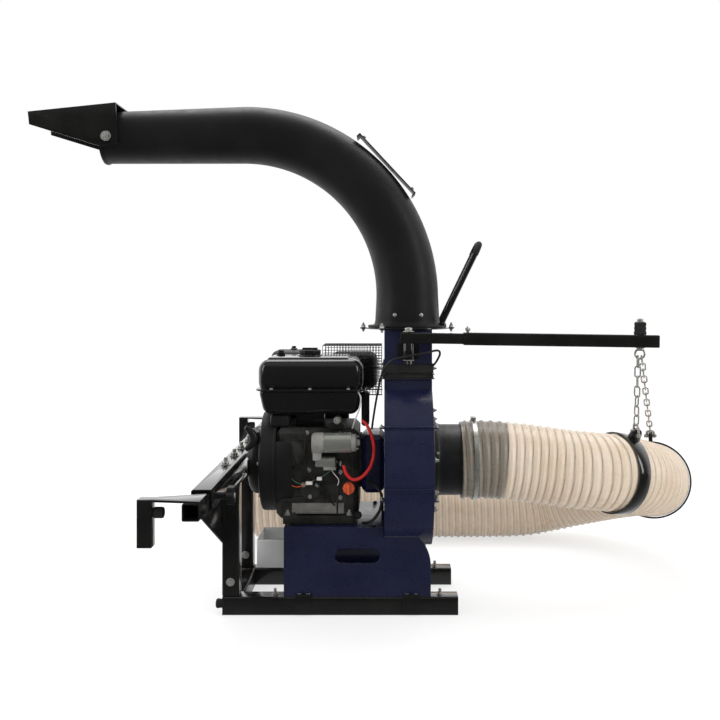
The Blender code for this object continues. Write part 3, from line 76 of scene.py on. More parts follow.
# Blower
DRUM_R = 0.236
DRUM_LEFT = -0.002
DRUM_RIGHT = 0.130
DUCT_HALF = 0.105
DUCT_LOW = 0.6323
DUCT_HIGH = 0.771
NECK_Z = 0.632
LUG_ROWS = ((0.514, -0.204), (0.325, -0.225))
TURNTABLE_BOLT_R = 0.1264  # outside the sweep of the handle's feet

# Chute
CHUTE_X = 0.064
CHUTE_FOOT = 0.7755
BEND_START = 0.862
BEND_R = 0.464
CHUTE_END = -0.802
CHUTE_DROOP = 0.008
CHUTE_RADII = (0.093, 0.0888, 0.0805, 0.073)
CHUTE_WALL = 0.004
HATCH_ANGLE = 43

# Hose
HOSE_START = 0.2156
HOSE_BEND_X = 0.527
HOSE_BEND_R = 0.3235
HOSE_LEFT = -0.458
HOSE_R = 0.1115
HOSE_VALLEY = 0.1075
HOSE_BORE = 0.1015
HOSE_FLOOR = 0.1123
HOSE_SIDES = 56
RIB_PITCH = 0.0225
ROWS_PER_RIB = 7
# Painted shade: up to this X, on the near stretch, the hose's colour is darkened to stand for the dark collar
# and the dark inside seen through its wall.
SEE_THROUGH_SHADE_END = 0.338  # up to this X the hose shows the dark collar or the dark inside through its wall

# Boom, chains and straps
BOOM_Y = -0.137
BOOM_Z = 0.750
BOOM_HALF = 0.0171
BOOM_DROOP = math.radians(0.8)
EYE_X = 0.694
EYE_R = 0.013
EYE_WIRE = 0.003
EYE_Z = BOOM_Z - (BOOM_HALF + EYE_R + EYE_WIRE + 0.0015)
CHAIN_WIRE = 0.0023
CHAIN_BITE = 0.0012
CHAIN_PITCH = 0.035
LINK_HALF = 0.0095
SHACKLE_WIRE = 0.0035
SHACKLE_LONG = 0.034
STRAP_BENDS = (27, 71)
STRAP_FIT = 0.1138
STRAP_T = 0.004
STRAP_HALF = 0.021
LUG_HIGH = 0.032
LUG_HALF = 0.006
LUG_HOLE_DOWN = 0.013

# Engine
CASE_FRONT = -0.112
CAP_SPOT = (-0.214, -0.020)
TANK_LOW = (-0.349, -0.130)
TANK_HIGH = (-0.061, 0.090)
STARTER_LEFT = -0.198
STARTER_R = 0.027
RELAY_Z = 0.412
GOVERNOR = (-0.252, 0.432)
SHROUD_LEFT = -0.3453
SHROUD_RIGHT = -0.3003
ROPE_X = SHROUD_LEFT - 0.0189
ROPE_Z = SHAFT_Z + 0.079


def at(point):
    return Vector(point) + Vector((LINE_X, LINE_Y, 0.0))


def mm(*rows):
    """Rows of places given in mm."""
    return [tuple(value / 1000 for value in row) for row in rows]


def linked(name, data):
    """A new object in the scene that shows the data."""
    obj = bpy.data.objects.new(name, data)
    bpy.context.scene.collection.objects.link(obj)
    return obj


# Camera
camera_data = bpy.data.cameras.new("camera")
camera_data.sensor_width = SENSOR
camera_data.lens = FOCAL_PIXELS / IMAGE_PIXELS * SENSOR
camera_data.shift_x = (IMAGE_PIXELS / 2 - HORIZON[0]) / IMAGE_PIXELS
camera_data.shift_y = (HORIZON[1] - IMAGE_PIXELS / 2) / IMAGE_PIXELS
camera = linked("camera", camera_data)
camera.location = at((0.0, CAMERA_BACK, CAMERA_HIGH))
camera.rotation_euler = (math.pi / 2, 0, 0)
bpy.context.scene.camera = camera


# Shader nodes


def feed(tree, made, inputs):
    """Gives each input its value, or the socket that drives it."""
    for name, value in inputs.items():
        if isinstance(value, bpy.types.NodeSocket):
            tree.links.new(value, made.inputs[name])
        else:
            made.inputs[name].default_value = value


def node(tree, kind, inputs=None, **settings):
    made = tree.nodes.new("ShaderNode" + kind)
    for name, value in settings.items():
        setattr(made, name, value)
    feed(tree, made, inputs or {})
    return made


def ramp(tree, value, start, end, low=0.0, high=1.0, kind="LINEAR"):
    inputs = {"Value": value, "From Min": start, "From Max": end, "To Min": low, "To Max": high}
    return node(tree, "MapRange", inputs, interpolation_type=kind).outputs["Result"]


def mixed(tree, factor, first, second, kind="MIX"):
    inputs = {"Factor": factor, 6: first, 7: second}
    return node(tree, "Mix", inputs, data_type="RGBA", blend_type=kind).outputs[2]


def between(tree, factor, first, second):
    """A number between two numbers."""
    return node(tree, "Mix", {"Factor": factor, 2: first, 3: second}, data_type="FLOAT").outputs[0]


def reckoned(tree, operation, first, second):
    return node(tree, "Math", {0: first, 1: second}, operation=operation).outputs["Value"]


# Materials: each finish mottles its colour, varies its gloss and has its own grain


def finish(name, colour, second, rough, metallic=0.0, mottle=14.0, grain=900.0, grain_depth=0.0002,
           edge=0.0012, wear=None, coat=0.0, specular=0.5):
    """Edge is the radius that the shading gives to edges. Wear is the colour of rubbed edges."""
    made = bpy.data.materials.new(name)
    made.use_nodes = True
    tree = made.node_tree
    place = node(tree, "TexCoord").outputs["Object"]

    def noise(scale, detail):
        return node(tree, "TexNoise", {"Vector": place, "Scale": scale, "Detail": detail}).outputs["Fac"]

    tint = mixed(tree, ramp(tree, noise(mottle, 5.0), 0.35, 0.65), (*colour, 1), (*second, 1))
    smudge = noise(mottle * 3.7, 6.0)
    bump = {"Strength": 0.55, "Distance": grain_depth, "Height": noise(grain, 3.0)}
    if edge:
        bump["Normal"] = node(tree, "Bevel", {"Radius": edge}, samples=4).outputs["Normal"]
    if wear:
        normal = node(tree, "NewGeometry").outputs["Normal"]
        match = node(tree, "VectorMath", {0: bump["Normal"], 1: normal}, operation="DOT_PRODUCT")
        rubbed = ramp(tree, match.outputs["Value"], 0.99, 0.86)
        tint = mixed(tree, reckoned(tree, "MULTIPLY", rubbed, smudge), tint, (*wear, 1))
    inputs = {
        "Base Color": tint,
        "Roughness": ramp(tree, smudge, 0.3, 0.7, *rough),
        "Normal": node(tree, "Bump", bump).outputs["Normal"],
        "Metallic": metallic,
        "IOR": 1.5,
        "Specular IOR Level": specular,
    }
    if coat:
        inputs["Coat Weight"] = coat
        inputs["Coat Roughness"] = 0.12
    feed(tree, tree.nodes["Principled BSDF"], inputs)
    return made


POWDER = finish("black_powder_coat", (0.0060, 0.0058, 0.0055), (0.0100, 0.0096, 0.0090), (0.12, 0.24),
                grain=420, grain_depth=0.00003, wear=(0.07, 0.07, 0.072), coat=1.0, specular=0.35)
NAVY = finish("navy_paint", (0.0095, 0.0115, 0.040), (0.0125, 0.0145, 0.048), (0.24, 0.36), grain=320,
              grain_depth=0.00006, wear=(0.05, 0.06, 0.13), coat=0.1)
MATTE = finish("chute_plastic", (0.0085, 0.0085, 0.0085), (0.0115, 0.0115, 0.011), (0.38, 0.5), mottle=8,
               grain=1500, grain_depth=0.0001, specular=0.3)
PLASTIC = finish("engine_plastic", (0.0085, 0.0085, 0.0085), (0.013, 0.013, 0.013), (0.32, 0.5), grain=1300,
                 grain_depth=0.00015, wear=(0.05, 0.05, 0.05))
GLOSS = finish("tank_enamel", (0.0075, 0.0072, 0.007), (0.0095, 0.009, 0.0088), (0.1, 0.18), mottle=5,
               grain=700, grain_depth=0.000008, coat=0.7, specular=0.4)
RUBBER = finish("black_rubber", (0.012, 0.012, 0.012), (0.022, 0.021, 0.02), (0.7, 0.9), grain=1100,
                grain_depth=0.0003, specular=0.3)
ALLOY = finish("cast_alloy", (0.055, 0.053, 0.05), (0.11, 0.105, 0.1), (0.42, 0.62), metallic=0.75, mottle=30,
               grain=1400, grain_depth=0.0005)
PALE_ALLOY = finish("die_casting", (0.26, 0.255, 0.24), (0.38, 0.37, 0.35), (0.42, 0.6), metallic=0.3,
                    mottle=30, grain=1400, grain_depth=0.0004)
DARK_ALLOY = finish("painted_casting", (0.020, 0.020, 0.0185), (0.045, 0.043, 0.039), (0.42, 0.6),
                    metallic=0.3, mottle=25, grain=1300, grain_depth=0.0005)
STEEL = finish("bare_steel", (0.26, 0.25, 0.24), (0.40, 0.39, 0.37), (0.25, 0.42), metallic=1.0, mottle=22,
               grain=700, grain_depth=0.0001)
CHROME = finish("starter_can", (0.56, 0.58, 0.52), (0.66, 0.67, 0.61), (0.22, 0.28), metallic=0.8, mottle=6,
                grain=500, grain_depth=0.00002)
ZINC = finish("zinc_plate", (0.42, 0.42, 0.40), (0.62, 0.61, 0.57), (0.22, 0.4), metallic=0.65, mottle=60,
              grain=1800, grain_depth=0.0001, edge=0.0005)
GUARD = finish("guard_wire", (0.018, 0.018, 0.018), (0.05, 0.048, 0.045), (0.3, 0.5), metallic=0.5, mottle=60,
               grain=1500, edge=0)
# Painted reflection: the battery tray is glossy black, and this pale grey stands for the white studio
# mirrored in its top.
PAINTED_REFLECTION_SHEET = finish("grey_sheet", (0.66, 0.66, 0.66), (0.76, 0.76, 0.75), (0.3, 0.45), metallic=0.1,
               wear=(0.85, 0.85, 0.85))
FOOT_ALLOY = finish("dull_casting", (0.13, 0.128, 0.12), (0.20, 0.195, 0.18), (0.5, 0.68), metallic=0.2,
                    mottle=30, grain=1400, grain_depth=0.0004)
GREEN = finish("green_sheath", (0.05, 0.13, 0.07), (0.08, 0.17, 0.09), (0.35, 0.5), mottle=60, edge=0)
ORANGE = finish("orange_plastic", (0.62, 0.075, 0.012), (0.76, 0.11, 0.02), (0.3, 0.45), grain=1300)
RED = finish("red_sheath", (0.50, 0.012, 0.012), (0.62, 0.022, 0.02), (0.25, 0.38), mottle=40, edge=0)
CABLE = finish("cable_sheath", (0.010, 0.010, 0.010), (0.018, 0.018, 0.018), (0.4, 0.6), mottle=60, edge=0)
NYLON = finish("nylon_pad", (0.60, 0.59, 0.55), (0.70, 0.69, 0.65), (0.35, 0.5), mottle=60, edge=0.0008)
ROPE = finish("braided_rope", (0.03, 0.03, 0.03), (0.09, 0.09, 0.088), (0.7, 0.9), mottle=900, grain=2200,
              grain_depth=0.0006, edge=0)


def hose_finish():
    """Cloudy cream vinyl. The dark line along each groove between the ribs is painted shade, and the colour
    is greyed by painted shade where the dark collar and the dark inside show through.
    """
    made = finish("hose_vinyl", (0.735, 0.598, 0.455), (0.80, 0.677, 0.545), (0.22, 0.36), mottle=9,
                  grain=160, edge=0)
    tree = made.node_tree
    shader = tree.nodes["Principled BSDF"]
    colour = shader.inputs["Base Color"].links[0].from_socket
    rib_shade = node(tree, "Attribute", attribute_name="rib_shade").outputs["Fac"]
    see_through_shade = node(tree, "Attribute", attribute_name="see_through_shade").outputs["Fac"]
    # Painted shade: the groove lines and the darker zone by the collar are mixed into the vinyl's colour
    # here.
    rib_shaded = mixed(tree, rib_shade, colour, (0.27, 0.205, 0.155, 1))
    see_through_shaded = mixed(tree, see_through_shade, rib_shaded, (0.335, 0.35, 0.36, 1), "MULTIPLY")
    feed(tree, shader, {"Base Color": see_through_shaded, "Subsurface Weight": 0.12, "Subsurface Scale": 0.01})
    return made


HOSE = hose_finish()


# Modelling steps


def only(obj):
    bpy.ops.object.select_all(action="DESELECT")
    obj.select_set(True)
    bpy.context.view_layer.objects.active = obj
    return obj


def settle(obj):
    """Puts the object's place into its mesh."""
    only(obj)
    bpy.ops.object.transform_apply(location=True, rotation=True, scale=True)
    return obj


def soften(obj, width, segments=2, angle=30):
    only(obj)
    bevel = obj.modifiers.new("edges", "BEVEL")
    bevel.width = width
    bevel.segments = segments
    bevel.limit_method = "ANGLE"
    bevel.angle_limit = math.radians(angle)
    bpy.ops.object.modifier_apply(modifier=bevel.name)
    return obj


def mended(obj, merge=True):
    """Merges corners that meet, and turns every face outward."""
    only(obj)
    bpy.ops.object.mode_set(mode="EDIT")
    bpy.ops.mesh.select_all(action="SELECT")
    if merge:
        bpy.ops.mesh.remove_doubles(threshold=MERGE)
    bpy.ops.mesh.normals_make_consistent(inside=False)
    bpy.ops.object.mode_set(mode="OBJECT")
    return obj


def block(corner, opposite, bevel=0.001, segments=2):
    low = at([min(pair) for pair in zip(corner, opposite)])
    high = at([max(pair) for pair in zip(corner, opposite)])
    bpy.ops.mesh.primitive_cube_add(size=1, location=(low + high) / 2)
    obj = bpy.context.object
    obj.scale = high - low
    settle(obj)
    return soften(obj, bevel, segments) if bevel else obj


def rod(start, end, radius, sides=24, end_radius=None, bevel=0.0):
    start = at(start)
    end = at(end)
    line = end - start
    bpy.ops.mesh.primitive_cone_add(
        vertices=sides,
        radius1=radius,
        radius2=radius if end_radius is None else end_radius,
        depth=line.length,
        location=(start + end) / 2,
        rotation=line.to_track_quat("Z", "Y").to_euler(),
    )
    obj = settle(bpy.context.object)
    return soften(obj, bevel, 2) if bevel else obj


def turned(profile, centre, direction, sides=48):
    """A profile of (radius, distance along the direction), spun about the line through the centre."""
    direction = Vector(direction).normalized()
    centre = at(centre)
    across = direction.orthogonal().normalized()
    mesh = bpy.data.meshes.new("profile")
    corners = [centre + across * radius + direction * along for radius, along in profile]
    mesh.from_pydata(corners, [(i, i + 1) for i in range(len(profile) - 1)], [])
    obj = only(linked("profile", mesh))
    bpy.ops.object.mode_set(mode="EDIT")
    bpy.ops.mesh.select_all(action="SELECT")
    bpy.ops.mesh.spin(steps=sides, angle=2 * math.pi, center=centre, axis=direction)
    bpy.ops.object.mode_set(mode="OBJECT")
    return mended(obj)


AXES = {"X": (1, 2, 0), "Y": (0, 2, 1), "Z": (0, 1, 2)}


def plate(outline, axis, low, high, bevel=0.0):
    """An outline (Y, Z), (X, Z) or (X, Y), drawn on a disc's corners and extruded along the axis it faces."""
    bpy.ops.mesh.primitive_circle_add(vertices=len(outline), radius=1, fill_type="NGON")
    obj = bpy.context.object
    u, v, w = AXES[axis]
    for vertex, (a, b) in zip(obj.data.vertices, outline):
        point = [0.0, 0.0, 0.0]
        point[u] = a
        point[v] = b
        point[w] = low
        vertex.co = at(point)
    only(obj)
    bpy.ops.object.mode_set(mode="EDIT")
    bpy.ops.mesh.select_all(action="SELECT")
    step = [0.0, 0.0, 0.0]
    step[w] = high - low
    bpy.ops.mesh.extrude_region_move(TRANSFORM_OT_translate={"value": step})
    bpy.ops.object.mode_set(mode="OBJECT")
    mended(obj, merge=False)
    return soften(obj, bevel) if bevel else obj


def swept(points, radius, sides=8, cyclic=False, radii=None):
    """A round wire or tube along points, made a mesh."""
    curve = bpy.data.curves.new("path", "CURVE")
    curve.dimensions = "3D"
    curve.bevel_depth = radius
    curve.bevel_resolution = sides // 4
    curve.use_fill_caps = not cyclic
    spline = curve.splines.new("POLY")
    spline.points.add(len(points) - 1)
    for i, point in enumerate(points):
        spline.points[i].co = (*at(point), 1)
        spline.points[i].radius = radii[i] / radius if radii else 1
    spline.use_cyclic_u = cyclic
    only(linked("path", curve))
    bpy.ops.object.convert(target="MESH")
    return mended(bpy.context.object)


def cut(obj, *cutters):
    for cutter in cutters:
        only(obj)
        less = obj.modifiers.new("less", "BOOLEAN")
        less.operation = "DIFFERENCE"
        less.object = cutter
        bpy.ops.object.modifier_apply(modifier=less.name)
        bpy.data.objects.remove(cutter)
    return obj


def joined(shapes):
    shapes = list(shapes)
    only(shapes[0])
    for shape in shapes:
        shape.select_set(True)
    if len(shapes) > 1:
        bpy.ops.object.join()
    return bpy.context.view_layer.objects.active


def copies(master, places):
    """Copies of one shape, each with its own mesh, joined. The shape itself is used up."""
    made = []
    for place in places:
        copy = linked("copy", master.data.copy())
        copy.data.transform(place)
        made.append(copy)
    bpy.data.objects.remove(master)
    return joined(made)


def homed(obj):
    """Moves a shape that was drawn about the crankshaft's line to the origin."""
    obj.data.transform(Matrix.Translation((-LINE_X, -LINE_Y, 0)))
    return obj


def spun(obj, pivot, angle, axis):
    """Turns a shape's mesh about a pivot."""
    turn = Matrix.Rotation(angle, 4, axis)
    obj.data.transform(Matrix.Translation(pivot) @ turn @ Matrix.Translation(-pivot))
    return obj


def piece(name, obj, look, body, nodes=(), angle=35):
    only(obj)
    obj.name = name
    obj.data.name = name
    obj.data.materials.clear()
    obj.data.materials.append(look)
    bpy.ops.object.shade_smooth_by_angle(angle=math.radians(angle))
    if body:
        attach(obj, body)
    if nodes:
        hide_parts(*nodes)
    obj.select_set(False)
    return obj


def facing(point, direction, spin=0.0):
    """A place whose Z looks along the direction."""
    turn = Vector(direction).to_track_quat("Z", "Y").to_matrix().to_4x4()
    return Matrix.Translation(at(point)) @ turn @ Matrix.Rotation(spin, 4, "Z")


def bolt_shape(size, stud=0.0):
    """A hexagon bolt head on its washer, its foot at the origin, looking up Z."""
    rows = [
        (6, size, 0.8 * size, 0.55 * size, 0.1 * size),
        (20, 1.35 * size, 0.18 * size, 0.09 * size, 0.04 * size),
    ]
    if stud:
        rows.append((12, 0.55 * size, stud, stud / 2, 0.08 * size))
    shapes = []
    for sides, radius, high, middle, bevel in rows:
        spot = (0, 0, middle)
        bpy.ops.mesh.primitive_cylinder_add(vertices=sides, radius=radius, depth=high, location=spot)
        shapes.append(soften(settle(bpy.context.object), bevel, 1))
    return joined(shapes)


def bolts(name, size, places, body, look=None, stud=0.0):
    """Places are (point, direction)."""
    turns = [facing(point, way, 0.35 * i) for i, (point, way) in enumerate(places)]
    return piece(name, copies(bolt_shape(size, stud), turns), look or ZINC, body)


def dressed(name, look, bevel=0.0008, body="machine", segments=2):
    """A merged copy of a CAD node with its edges broken, in place of it."""
    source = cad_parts[name]
    copy = only(linked(name, source.data.copy()))
    copy.data.transform(source.matrix_world)
    bpy.ops.object.mode_set(mode="EDIT")
    bpy.ops.mesh.select_all(action="SELECT")
    bpy.ops.mesh.remove_doubles(threshold=MERGE)
    bpy.ops.mesh.dissolve_limited(angle_limit=math.radians(0.5))
    bpy.ops.object.mode_set(mode="OBJECT")
    soften(copy, bevel, segments, 40)
    return piece(name + "_dressed", copy, look, body, [name])


def arc(centre, radius, start, end, steps):
    """Points of an arc, angles in degrees."""
    made = []
    for i in range(steps + 1):
        angle = math.radians(start + (end - start) * i / steps)
        made.append((centre[0] + radius * math.cos(angle), centre[1] + radius * math.sin(angle)))
    return made


def rounded(low, high, radius, steps):
    corners = (
        (high[0] - radius, high[1] - radius, 0),
        (low[0] + radius, high[1] - radius, 90),
        (low[0] + radius, low[1] + radius, 180),
        (high[0] - radius, low[1] + radius, 270),
    )
    return [point for x, y, turn in corners for point in arc((x, y), radius, turn, turn + 90, steps)]


def lobed(centre, radius, depth, lobes, corners):
    """A round outline with a wavy edge."""
    made = []
    for i in range(corners):
        angle = 2 * math.pi * i / corners
        reach = radius * (1 - depth + depth * math.cos(lobes * angle))
        made.append((centre[0] + reach * math.cos(angle), centre[1] + reach * math.sin(angle)))
    return made


def round_shaft(x, radius, angles, way=1):
    """Bolt places on a circle about the shaft."""
    made = []
    for angle in angles:
        turn = math.radians(angle)
        made.append(((x, radius * math.cos(turn), SHAFT_Z + radius * math.sin(turn)), (way, 0, 0)))
    return made


def smooth_path(points, step):
    """Points at an even step along a Catmull-Rom curve through the given points."""
    points = [Vector(p) for p in points]
    padded = [2 * points[0] - points[1], *points, 2 * points[-1] - points[-2]]
    fine = []
    for i in range(1, len(padded) - 2):
        a, b, c, d = padded[i - 1 : i + 3]
        for k in range(24):
            t = k / 24
            square = (2 * a - 5 * b + 4 * c - d) * t**2
            cube = (3 * b - a - 3 * c + d) * t**3
            fine.append(0.5 * (2 * b + (c - a) * t + square + cube))
    fine.append(points[-1])
    lengths = [0.0]
    for a, b in zip(fine, fine[1:]):
        lengths.append(lengths[-1] + (b - a).length)
    count = max(2, round(lengths[-1] / step))
    made = []
    k = 0
    for i in range(count + 1):
        want = lengths[-1] * i / count
        while k < len(lengths) - 2 and lengths[k + 1] < want:
            k += 1
        span = lengths[k + 1] - lengths[k]
        made.append(fine[k].lerp(fine[k + 1], (want - lengths[k]) / span if span else 0))
    return made


def pipe(name, path, first, last, columns, outer, inner, side=None):
    """A round pipe with a wall, from one point of the path to another. Its radii depend on point and turn."""
    verts = []
    for radius in (outer, inner):
        for i in range(first, last + 1):
            along = (path[min(i + 1, len(path) - 1)] - path[max(i - 1, 0)]).normalized()
            across = along.cross(Vector((0, 0, 1))).normalized() if side is None else Vector(side)
            up = across.cross(along).normalized()
            for c in range(columns):
                turn = 2 * math.pi * c / columns
                spoke = across * math.cos(turn) + up * math.sin(turn)
                verts.append(at(path[i] + spoke * radius(i, turn)))
    skip = len(verts) // 2
    end = skip - columns
    faces = []
    for c in range(columns):
        d = (c + 1) % columns
        for p in range(0, end, columns):
            q = p + columns
            faces.append((p + c, p + d, q + d, q + c))
            faces.append((skip + p + c, skip + q + c, skip + q + d, skip + p + d))
        faces.append((c, skip + c, skip + d, d))
        faces.append((end + c, end + d, skip + end + d, skip + end + c))
    mesh = bpy.data.meshes.new(name)
    mesh.from_pydata(verts, [], faces)
    return mended(linked(name, mesh), merge=False)


def oriented(along, up, place):
    """A matrix whose local X runs along and whose local Z is as near up as it can be."""
    x = Vector(along).normalized()
    y = Vector(up).cross(x).normalized()
    return Matrix.Translation(at(place)) @ Matrix((x, y, x.cross(y))).transposed().to_4x4()


# Cables first


def cables():
    routes = (
        ("starter_cable", RED, 0.0045, "red_sheath", mm(
            (-112, -150, 404), (-104, -162, 385), (-85, -166, 370), (-60, -160, 378), (-38, -150, 405),
            (-30, -140, 443), (-36, -128, 480), (-50, -118, 510), (-62, -105, 520))),
        ("ground_cable", CABLE, 0.004, "black_rubber", mm(
            (-45, -96, 352), (-28, -118, 345), (-10, -146, 326), (-12, -160, 292), (-30, -158, 262),
            (-48, -146, 249), (-60, -128, 244.5))),
        ("kill_switch_wire", CABLE, 0.003, "black_rubber", mm(
            (-36, -122, 500), (-32, -132, 530), (-24, -138, 580), (-14, -140, 630), (-4, -146, 662),
            (20, -158, 690), (63, -164, 702), (108, -158, 710), (142, -142, 716), (150, -130, 706),
            (142, -118, 686), (132, -112, 672))),
    )
    for name, look, radius, slot, route in routes:
        path = smooth_path(route, 0.006)
        wire = piece(name + "_sheath", swept(path, radius, 12), look, "machine", [name])


# Hose


def hose_route():
    """The hose's centre line: out of the collar, round the bend as it sinks, and back along the floor."""
    heights = ((15, 0.358), (30, 0.345), (50, 0.318), (70, 0.293), (90, 0.268), (110, 0.240), (130, 0.205),
               (150, 0.168), (170, 0.134))
    points = [(HOSE_START, 0, SHAFT_Z), (HOSE_START + 0.088, 0, SHAFT_Z)]
    points += [(0.420, 0, 0.383), (HOSE_BEND_X, 0, 0.368)]
    for degrees, z in heights:
        angle = math.radians(degrees)
        points.append((HOSE_BEND_X + HOSE_BEND_R * math.sin(angle), HOSE_BEND_R * (1 - math.cos(angle)), z))
    far = 2 * HOSE_BEND_R
    points.append((0.480, far, HOSE_FLOOR + 0.004))
    points += [(x, far, HOSE_FLOOR) for x in (0.300, 0.100, -0.180, HOSE_LEFT)]
    return points


def ribbed(path, first, last, name):
    """A stretch of hose with the helix of its ribbing wound round it, from one point of the path to another.
    Its grooves and bore carry painted shade.
    """
    ends = (0, len(path) - 1)

    def wave(i, turn):
        return math.cos(2 * math.pi * (i / ROWS_PER_RIB) + turn)

    def outer(i, turn):
        if i in ends:
            return HOSE_VALLEY
        return HOSE_VALLEY + (HOSE_R - HOSE_VALLEY) * max(0.0, wave(i, turn)) ** 0.8

    obj = pipe(name, path, first, last, HOSE_SIDES, outer, lambda i, turn: HOSE_BORE)
    # Painted shade: the first mask darkens each groove between the ribs, the far wall's ribs where they show
    # through, and the whole inside of the bore.
    rib_shade, collar = [], []
    for i in range(first, last + 1):
        through = min(1.0, max(0.0, (path[i].y - 0.03) / 0.06))  # the far wall's ribs show through here
        for c in range(HOSE_SIDES):
            level = wave(i, 2 * math.pi * c / HOSE_SIDES)
            own = (1.0 - 0.35 * through) * max(0.0, -level) ** 6
            rib_shade.append(max(own, 0.35 * through * max(0.0, level) ** 6))
            # Painted shade: the collar mask greys the near stretch where the dark collar and the dark inside
            # show through its wall.
            collar.append(1.0 if path[i].x < SEE_THROUGH_SHADE_END and path[i].y < 0.2 else 0.0)
    inside = len(rib_shade)
    for name, values in (("rib_shade", rib_shade + [0.4] * inside), ("see_through_shade", collar + [0.0] * inside)):
        obj.data.attributes.new(name, "FLOAT", "POINT").data.foreach_set("value", values)
    return obj


def hose():
    """The near stretch bends between collar and boom. The rest swings with the boom, in its straps."""
    path = smooth_path(hose_route(), RIB_PITCH / ROWS_PER_RIB)
    split = next(i for i, p in enumerate(path) if p.y > 0.052)
    near = ribbed(path, 0, split, "hose_near")
    piece("hose_near", near, HOSE, None, ["suction_hose"], 80)
    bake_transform(near)
    far = ribbed(path, split, len(path) - 1, "hose_far")
    piece("hose_far", far, HOSE, "boom", ["suction_hose"], 80)


# Skid rails, posts, beam and hooks


def framework():
    for name, side, _ in SIDES:
        y = side * RAIL_Y
        dressed(f"{name}_rail", POWDER, 0.0012, segments=3)
        places = [((x, y, TUBE), (0, 0, 1)) for x in (0.150, -0.300)]
        bolts(f"{name}_rail_bolts", 0.0075, places, "machine", stud=0.016)
        face = RAIL_LEFT - GAP
        profile = mm((0.1, -22), (9.5, -22), (11.8, -20.5), (13, -17), (11.8, -8), (12.5, -3), (16.5, -2.5),
                     (16.5, 0))
        cap = block((face - 0.003, y - TUBE / 2, 0.0), (face, y + TUBE / 2, TUBE), 0.0012)
        stop = joined([cap, turned(profile, (face - 0.0015, y, TUBE / 2), (1, 0, 0), 28)])
        piece(f"{name}_bumper_rubber", stop, RUBBER, "machine", [f"{name}_bumper"])
        dressed(f"{name}_post", POWDER, 0.0009)
        nuts = []
        for nut_y in (y - 0.067, y + 0.067):
            nuts.append(((BEAM_X, nut_y, BEAM_Z + 0.0255), (0, 0, 1)))
            nuts.append(((BEAM_X, nut_y, 0.3560), (0, 0, -1)))
        bolts(f"{name}_head_plate_nuts", 0.0098, nuts, "machine", stud=0.020)
        places = [((-0.418, y + way * 0.0232, 0.090), (0, way, 0)) for way in (-1, 1)]
        bolts(f"{name}_post_bolts", 0.0085, places, "machine")
    dressed("rail_cross_tube", POWDER, 0.0012, segments=3)
    dressed("tailgate_beam", POWDER, 0.0010, segments=3)
    # Painted reflection: the tray's pale colour stands for the white studio mirrored in its glossy black top.
    dressed("battery_tray", PAINTED_REFLECTION_SHEET, 0.0007)


def knob(name, side, end):
    """A star knob with six lobes, dished in the middle."""
    y = end - side * 0.057
    left = BEAM_X + TUBE / 2 + 0.024
    body = f"{name}_lock"
    grip = plate(lobed((y, BEAM_Z), 0.0235, 0.085, 6, 72), "X", left, left + 0.018, 0.0026)
    profile = mm((0.1, 0), (10.5, 0), (12.5, 4), (12.5, 6.5))
    hub = turned(profile, (left - 0.006, y, BEAM_Z), (1, 0, 0), 28)
    profile = mm((0.1, 0), (12.5, 0), (14.5, 3), (14.5, 10), (0.1, 10))
    dish = turned(profile, (left + 0.0155, y, BEAM_Z), (1, 0, 0), 36)
    star = joined([cut(grip, dish), hub])
    piece(f"{name}_star_knob", star, PLASTIC, body, [f"{name}_lock_knob"])
    screw = rod((BEAM_X + 0.0202, y, BEAM_Z), (left + 0.004, y, BEAM_Z), 0.004, 20)
    piece(f"{name}_knob_screw", screw, ZINC, body)
    insert = turned(mm((0.1, 0), (6, 0), (6.6, 0.8), (6.6, 3)), (left + 0.0185, y, BEAM_Z), (-1, 0, 0), 24)
    piece(f"{name}_knob_insert", insert, ZINC, body)


def tailgate_hooks():
    for name, side, end in SIDES:
        body = f"{name}_hook_slide"
        dressed(f"{name}_hook", POWDER, 0.0009, body)
        leg_y = end + side * 0.086
        left = BEAM_X - 0.090
        pad_z = BEAM_Z - 0.0068
        profile = mm((0.1, 24), (9.5, 24), (11.8, 22.8), (12.5, 20), (12.5, 3.5), (10.5, 2), (10.5, 0))
        pad = turned(profile, (left + GAP, leg_y, pad_z), (1, 0, 0), 36)
        profile = mm((0.1, -6), (4.5, -6), (4.5, 10), (0.1, 10))
        recess = turned(profile, (left + 0.0243, leg_y, pad_z), (1, 0, 0), 24)
        piece(f"{name}_pad_rubber", cut(pad, recess), RUBBER, body, [f"{name}_hook_pad"])
        bolts(f"{name}_pad_screw", 0.0028, [((left + 0.0183, leg_y, pad_z), (1, 0, 0))], body)
        knob(name, side, end)


# Base


def scroll(inset, above=0.0):
    """The blower's outline (Y, Z), from the duct's front wall round the drum to the duct's rear wall."""
    radius = DRUM_R - inset
    half = DUCT_HALF - inset
    rise = NECK_Z - SHAFT_Z
    start = 180 - math.degrees(math.acos(half / radius))
    tangent = math.degrees(math.atan2(rise, half) - math.acos(radius / math.hypot(rise, half)))
    outline = [(-half, NECK_Z), *arc((0, SHAFT_Z), radius, start, 360 + tangent, 72), (half, NECK_Z)]
    if above:
        outline += [(half, NECK_Z + above), (-half, NECK_Z + above)]
    return outline


